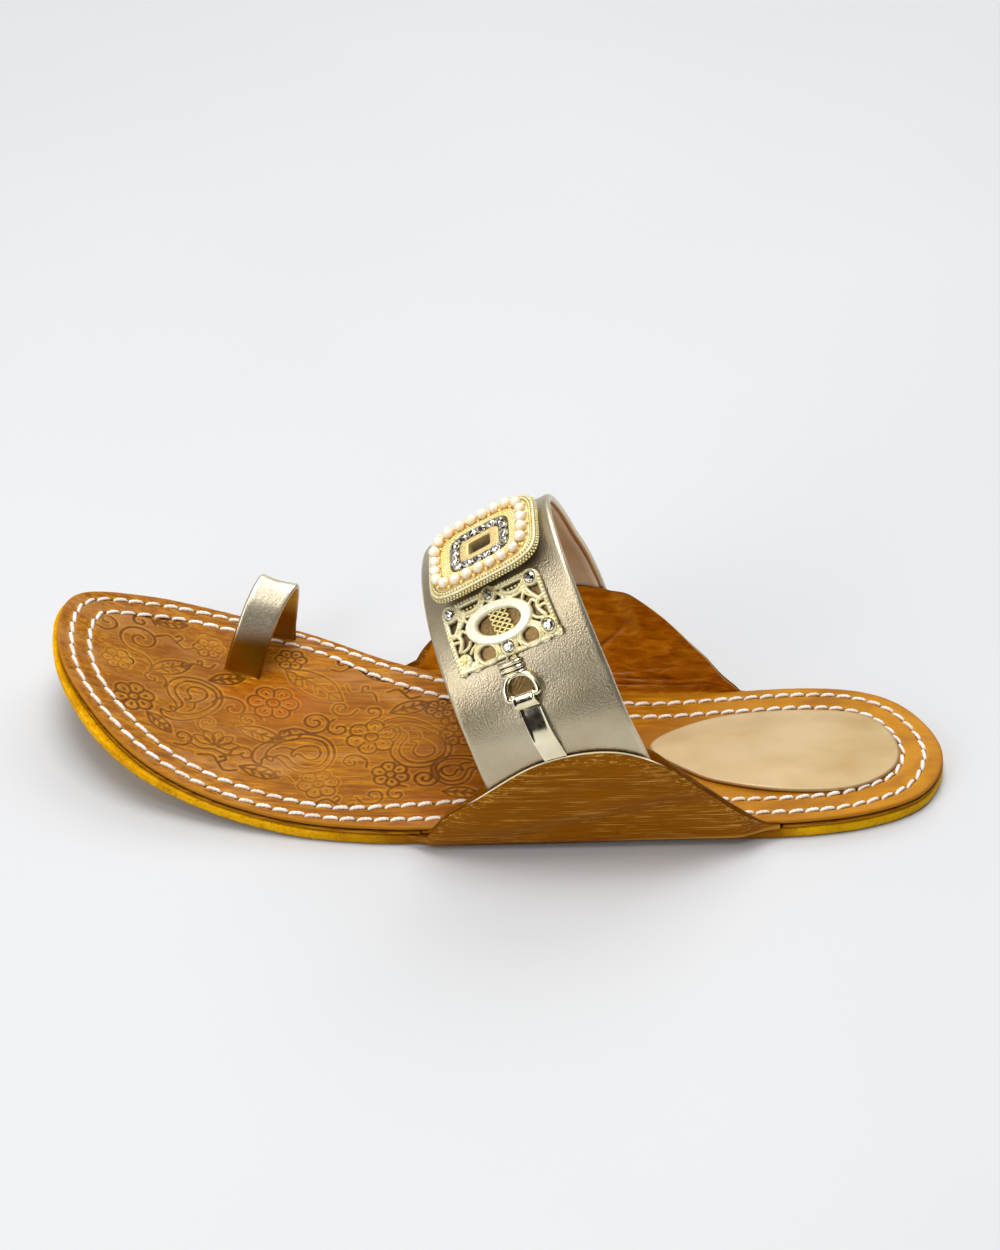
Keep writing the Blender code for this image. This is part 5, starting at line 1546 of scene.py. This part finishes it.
def build_plaques(paint):
    relief, relief_faces, deep, pale = plaque_mesh()
    grow = np.array((*PLAQUE_GROW, 1.0))
    bead, small = ball(0.75, 16, 9), ball(0.38, 10, 6)
    boss = np.array(PLAQUE_BOSS) * PLAQUE_GROW + (0.0, PLAQUE_RAISE)
    for side, word in SIDES:
        patch = Patch(side, *PLAQUE_PATCH)
        verts = patch.lay(relief * grow + (0.0, PLAQUE_RAISE, PLAQUE_LIFT - 0.1))
        trim("plaque_relief_" + word, (verts, relief_faces), paint["gold"], nodes=("plaque_" + word,),
             attrs={"deep": deep, "pale": pale})
        stones = Joined()
        for x, y, radius in PLAQUE_STONES:
            stone, faces = cut_stone(radius, NOISE.uniform(0.0, 1.0))
            spot = np.array((x, y, 0.0)) * grow + (0.0, PLAQUE_RAISE, 1.75 + PLAQUE_LIFT)
            stones.add(patch.lay(stone + spot), faces)
        trim("plaque_stones_" + word, stones.done(), paint["crystal"], flat=True)

        detail = Joined()
        detail.add(patch.lay(bead[0] + (*boss, 1.55)), bead[1])
        petals = [(boss[0] + 1.25 * math.cos(a), boss[1] + 1.25 * math.sin(a), 1.45) for a in circle(7)]
        rows = [(x + lerp(-2.4, 2.4, k / 4), 7.0 + 0.3, 1.2) for x in HIGH_ROUNDS for k in range(5)]
        for spot in petals + rows:
            detail.add(patch.lay(small[0] + spot), small[1])
        # woven strands across the oval's opening
        t = np.linspace(0.0, 1.0, 70)
        for k in range(5):
            u = 0.6 + (k - 2) * 1.12 + 0.46 * np.sin(2.0 * math.pi * 5.0 * t + math.pi * k) - (t - 0.5) * 0.5
            h = PLAQUE_LIFT + 0.55 + 0.16 * np.cos(4.0 * math.pi * 5.0 * t)
            strand, faces = wire(np.column_stack((u, lerp(-4.0, 4.0, t), h)), 0.24, 7)
            detail.add(patch.lay(strand), faces)
        # the small jump ring that holds the connector
        ring = np.column_stack((arc(-0.6, -10.1, 1.35, 1.25, steps=27)[:-1], np.full(27, 0.95)))
        verts, faces = wire(ring, 0.30, 8, closed=True)
        detail.add(patch.lay(verts), faces)
        trim("plaque_detail_" + word, detail.done(), paint["grain"])


def connector_mesh(side):
    """Ribbed barrel with the marks of its grooves, which paint shade into them."""
    patch = Patch(side, *CONNECTOR_PATCH)
    width, length, height = CONNECTOR_SIZE
    low, rings, marks = GAP - 0.1, [], []
    for j in range(CONNECTOR_STEPS + 1):
        t = j / CONNECTOR_STEPS
        up = lerp(-length / 2, length / 2, t) * CONNECTOR_DRAWN + CONNECTOR_DROP
        rib = abs(math.sin(3.0 * math.pi * t)) ** 0.60
        half, top = 0.58 * width - 0.32 * (1.0 - rib), GAP + height - 0.85 * (1.0 - rib)
        rings.append(patch.lay([(half * math.cos(a), up, low + (top - low) * math.sin(a) ** 0.55)
                                for a in np.linspace(0.0, math.pi, 23)]))
        # painted shade in the grooves between the ribs
        marks += [1.0 - float(smooth((rib - 0.2) / 0.55))] * 23
    return tube_rings(rings), marks


def superellipse(angle, power):
    cos, sin = math.cos(angle), math.sin(angle)
    return math.copysign(abs(cos) ** (2.0 / power), cos), math.copysign(abs(sin) ** (2.0 / power), sin)


def ring_mesh(patch):
    """D-ring: a round arc above, a straight bar below that the ribbon's fold wraps."""
    width, length = RING_SIZE
    bar_height, arc_height = GAP + RIBBON_THICK + RIBBON_FOLD_GAP + RING_WIRE, 1.3 * GAP + RING_WIRE
    line = []
    for k in range(72):
        angle = 2.0 * math.pi * (k + 0.5) / 72
        upper = math.sin(angle) > 0.0
        across, up = superellipse(angle, RING_ARC_POWER if upper else RING_BAR_POWER)
        across *= width / 2
        up = RING_BAR_END + up * (length - RING_BAR_END if upper else RING_BAR_END)
        height = 0.28 + lerp(bar_height, arc_height, float(smooth(up / length)))
        line.append((across * 1.04, up * 1.04, height))
    verts, faces = wire(resample(np.array(line), 0.32, closed=True), RING_WIRE_DRAWN, 16, closed=True)
    return patch.lay(verts), faces


def clasp_rings(patch, profile, half):
    """The ribbon's folded end round the ring's bar."""
    low = GAP + half
    radius = RING_WIRE + RIBBON_FOLD_GAP + half
    bar = low + radius
    line = [(-RIBBON_TAIL - 1.0, low), (-RIBBON_TAIL, low), (-2.0, low), (0.0, low)]
    bend = np.radians(np.linspace(-75.0, 75.0, 13))
    line += [(radius * math.cos(a), bar + radius * math.sin(a)) for a in bend]
    top = bar + radius
    line += [(0.0, top), (-0.8, top + 0.04), (-1.7, top), (-2.2, top - 0.3),
             (-2.7, low + RIBBON_THICK + 1.9 * GAP), (-3.0, low + 1.5 * half)]
    line = np.array(line)
    rings = []
    for (up, height), before, after in zip(line, (*line[:1], *line[:-1]), (*line[1:], *line[-1:])):
        run = unit(after - before)
        rings.append(patch.lay([(c, up + run[1] * f, height - run[0] * f) for c, f in profile]))
    return rings


def strip_rings(side, profile, low):
    """The ribbon from the fold down to the ear's rim, bowed off the strap in its middle."""
    wide = RIBBON_WIDTH / 2
    stops = [rim_sweep(side, RIBBON_END_ACROSS + edge * wide / STRAP_BREADTH) for edge in (-1, 1)]
    rings = []
    for k in range(25):
        rise = RIBBON_RISE * (1.0 - abs(smooth(k / 28) - 0.5) / 0.5)
        ring = []
        for c, f in profile:
            sweep = lerp(RIBBON_FLAT_SWEEP + 4.0, lerp(*stops, (c / wide + 1) / 2), k / 24)
            across = lerp(RIBBON_END_ACROSS, RING_PLACE[1], sweep / RING_PLACE[0])
            point, _, _, out = side_frame(side, sweep, across + c / wide * (wide / STRAP_BREADTH))
            ring.append(point + out * (low + f + rise))
        rings.append(ring)
    return rings


def build_chain(paint):
    """Ribbed connector, D-ring, folded clasp and the ribbon down to the ear."""
    half = RIBBON_THICK / 2
    profile = ribbon_profile(half)
    for side, word in SIDES:
        mesh, marks = connector_mesh(side)
        trim("connector_ribs_" + word, mesh, paint, nodes=("connector_" + word,), attrs={"deep": marks})
        patch = Patch(side, *RING_PATCH)
        trim("d_ring_wire_" + word, ring_mesh(patch), paint, nodes=("d_ring_" + word,))
        ribbon = Joined()
        ribbon.add(*tube_rings(clasp_rings(patch, profile, half)))
        ribbon.add(*tube_rings(strip_rings(side, profile, GAP + half)))
        trim("ribbon_strip_" + word, ribbon.done(), paint, nodes=("metal_ribbon_" + word,), angle=40.0)


def ribbon_profile(half):
    """Section of the strip with a fine raised lip along each edge: across, off the middle plane."""
    w, lip = RIBBON_WIDTH / 2, 0.16
    rises = (0.06, 0.6), (0.22, 1.0), (0.42, 0.8), (0.62, 0.0)
    top = [(-w + inset, half + lip * share) for inset, share in rises]
    top += [(c, half) for c in np.linspace(-w + 1.2, w - 1.2, 5)]
    top += [(-c, f) for c, f in reversed(top[:4])]
    return [(-w, 0.0)] + top + [(w, 0.0), (w - 0.1, -half), (-w + 0.1, -half)]


def rim_sweep(side, across):
    """Where the strap's face passes the ear's rim."""
    low, high = -STRAP_LEG, 20.0
    for _ in range(30):
        middle = (low + high) / 2
        point = side_frame(side, middle, across)[0]
        if point[2] < drawn_top(side, point[0]) + 2.0 * GAP:
            low = middle
        else:
            high = middle
    return high


# ---- stage ------------------------------------------------------------------------------------
CAMERA_TARGET = Vector((1.5, 20.2, 30.0)) * MM
CAMERA_FAR, CAMERA_ELEVATION, CAMERA_LENS = 0.850, 38.0, 83.48
FLOOR_HALF, FLOOR_DROP = 6, 0.00015             # metres
# the lamps: name, place, width and height in metres, watts, share of blue
SOFTBOXES = (
    ("softbox_top", (-0.06, 0.06, 1.32), (0.70, 0.50), 9.4, 0.97),
    ("softbox_fore", (0.00, -0.64, 1.22), (0.50, 0.24), 2.5, 0.97),
    ("softbox_key", (-0.78, -0.80, 0.92), (0.70, 0.60), 3.6, 0.97),
    ("softbox_low", (-1.09, -1.18, 0.54), (0.84, 0.40), 4.3, 0.975),
    ("softbox_back", (0.3, 0.9, 1.1), (1.3, 0.8), 6.6, 0.97),
    ("softbox_left", (-1.5, 0.1, 0.8), (0.6, 0.9), 1.4, 0.97),
)
# the surrounding light, dark below and bright above: upward direction, strength, (place, grey) steps
WORLD_UP, WORLD_STRENGTH = (0.0, 0.55, 0.83), 0.42
WORLD_STEPS = ((0.0, 0.05), (0.85, 1.0), (0.25, 0.14), (0.50, 0.62))


def build_stage():
    floor = bpy.data.meshes.new("floor")
    corners = (-1, -1), (1, -1), (1, 1), (-1, 1)
    floor.from_pydata([(FLOOR_HALF * x, FLOOR_HALF * y, 0) for x, y in corners], [], [(0, 1, 2, 3)])
    p = Paint("floor_paper", 0.2)
    soft = p.noise(0.004, 2.0, 0.5)
    p.finish(p.ramp(soft, (0.3, 215, 217, 221), (0.7, 218, 220, 223)), p.rough(soft, 0.75, 0.85))
    floor.materials.append(p.material)
    plane = bpy.data.objects.new("floor", floor)
    plane.location.z = -FLOOR_DROP
    bpy.context.scene.collection.objects.link(plane)

    world = bpy.data.worlds.new("studio")
    bpy.context.scene.world = world
    world.use_nodes = True
    tree = world.node_tree
    back = tree.nodes["Background"]
    where = tree.nodes.new("ShaderNodeTexCoord").outputs["Generated"]
    lean = tree.nodes.new("ShaderNodeVectorMath")
    lean.operation = "DOT_PRODUCT"
    lean.inputs[1].default_value = WORLD_UP
    tree.links.new(where, lean.inputs[0])
    ramp = tree.nodes.new("ShaderNodeValToRGB")
    tree.links.new(lean.outputs["Value"], ramp.inputs[0])
    stops = ramp.color_ramp.elements
    for k, (at, level) in enumerate(WORLD_STEPS):
        stop = stops[k] if k < 2 else stops.new(at)
        stop.position, stop.color = at, (level, level, level, 1)
    tree.links.new(ramp.outputs[0], back.inputs["Color"])
    back.inputs["Strength"].default_value = WORLD_STRENGTH

    for name, spot, size, power, blue in SOFTBOXES:
        data = bpy.data.lights.new(name, "AREA")
        data.shape, data.size, data.size_y, data.energy = "RECTANGLE", *size, power
        data.color = 1.0, 0.99, blue
        lamp = bpy.data.objects.new(name, data)
        lamp.location = spot
        lamp.rotation_euler = (Vector(spot) - Vector((0, 0, 0.03))).to_track_quat("Z", "Y").to_euler()
        bpy.context.scene.collection.objects.link(lamp)

    elevation = math.radians(CAMERA_ELEVATION)
    away = Vector((0.0, -math.cos(elevation), math.sin(elevation)))
    data = bpy.data.cameras.new("camera")
    data.lens, data.sensor_width, data.clip_start = CAMERA_LENS, 36.0, 0.05
    camera = bpy.data.objects.new("camera", data)
    camera.location = CAMERA_TARGET + away * CAMERA_FAR
    camera.rotation_euler = away.to_track_quat("Z", "Y").to_euler()
    bpy.context.scene.collection.objects.link(camera)
    bpy.context.scene.camera = camera
    bpy.context.scene.view_settings.view_transform = "Standard"


def main():
    build_sole()
    build_stitches(thread_paint())
    build_pad()
    build_ears({"inner": ear_inner_paint(), "outer": ear_outer_paint()})
    build_strap()
    build_loop(loop_paint())
    metal = {
        "gold": gold_paint("cast_gold", (255, 248, 210), (255, 240, 180), 0.24, metal=0.3),
        "grain": gold_paint("grain_gold", (255, 246, 196), (255, 234, 152), 0.22, cavity=False, metal=0.3),
        "polish": gold_paint("polished_gold", (250, 242, 214), (244, 232, 194), 0.06,
                             texture=0.5, depth=0.03),
        "silver": gold_paint("cup_silver", (214, 206, 188), (176, 166, 146), 0.20, cavity=False),
        "amber": enamel_paint(), "pearl": pearl_paint(), "crystal": crystal_paint(),
    }
    build_brooch(metal)
    build_plaques(metal)
    build_chain(metal["polish"])
    build_stage()


main()
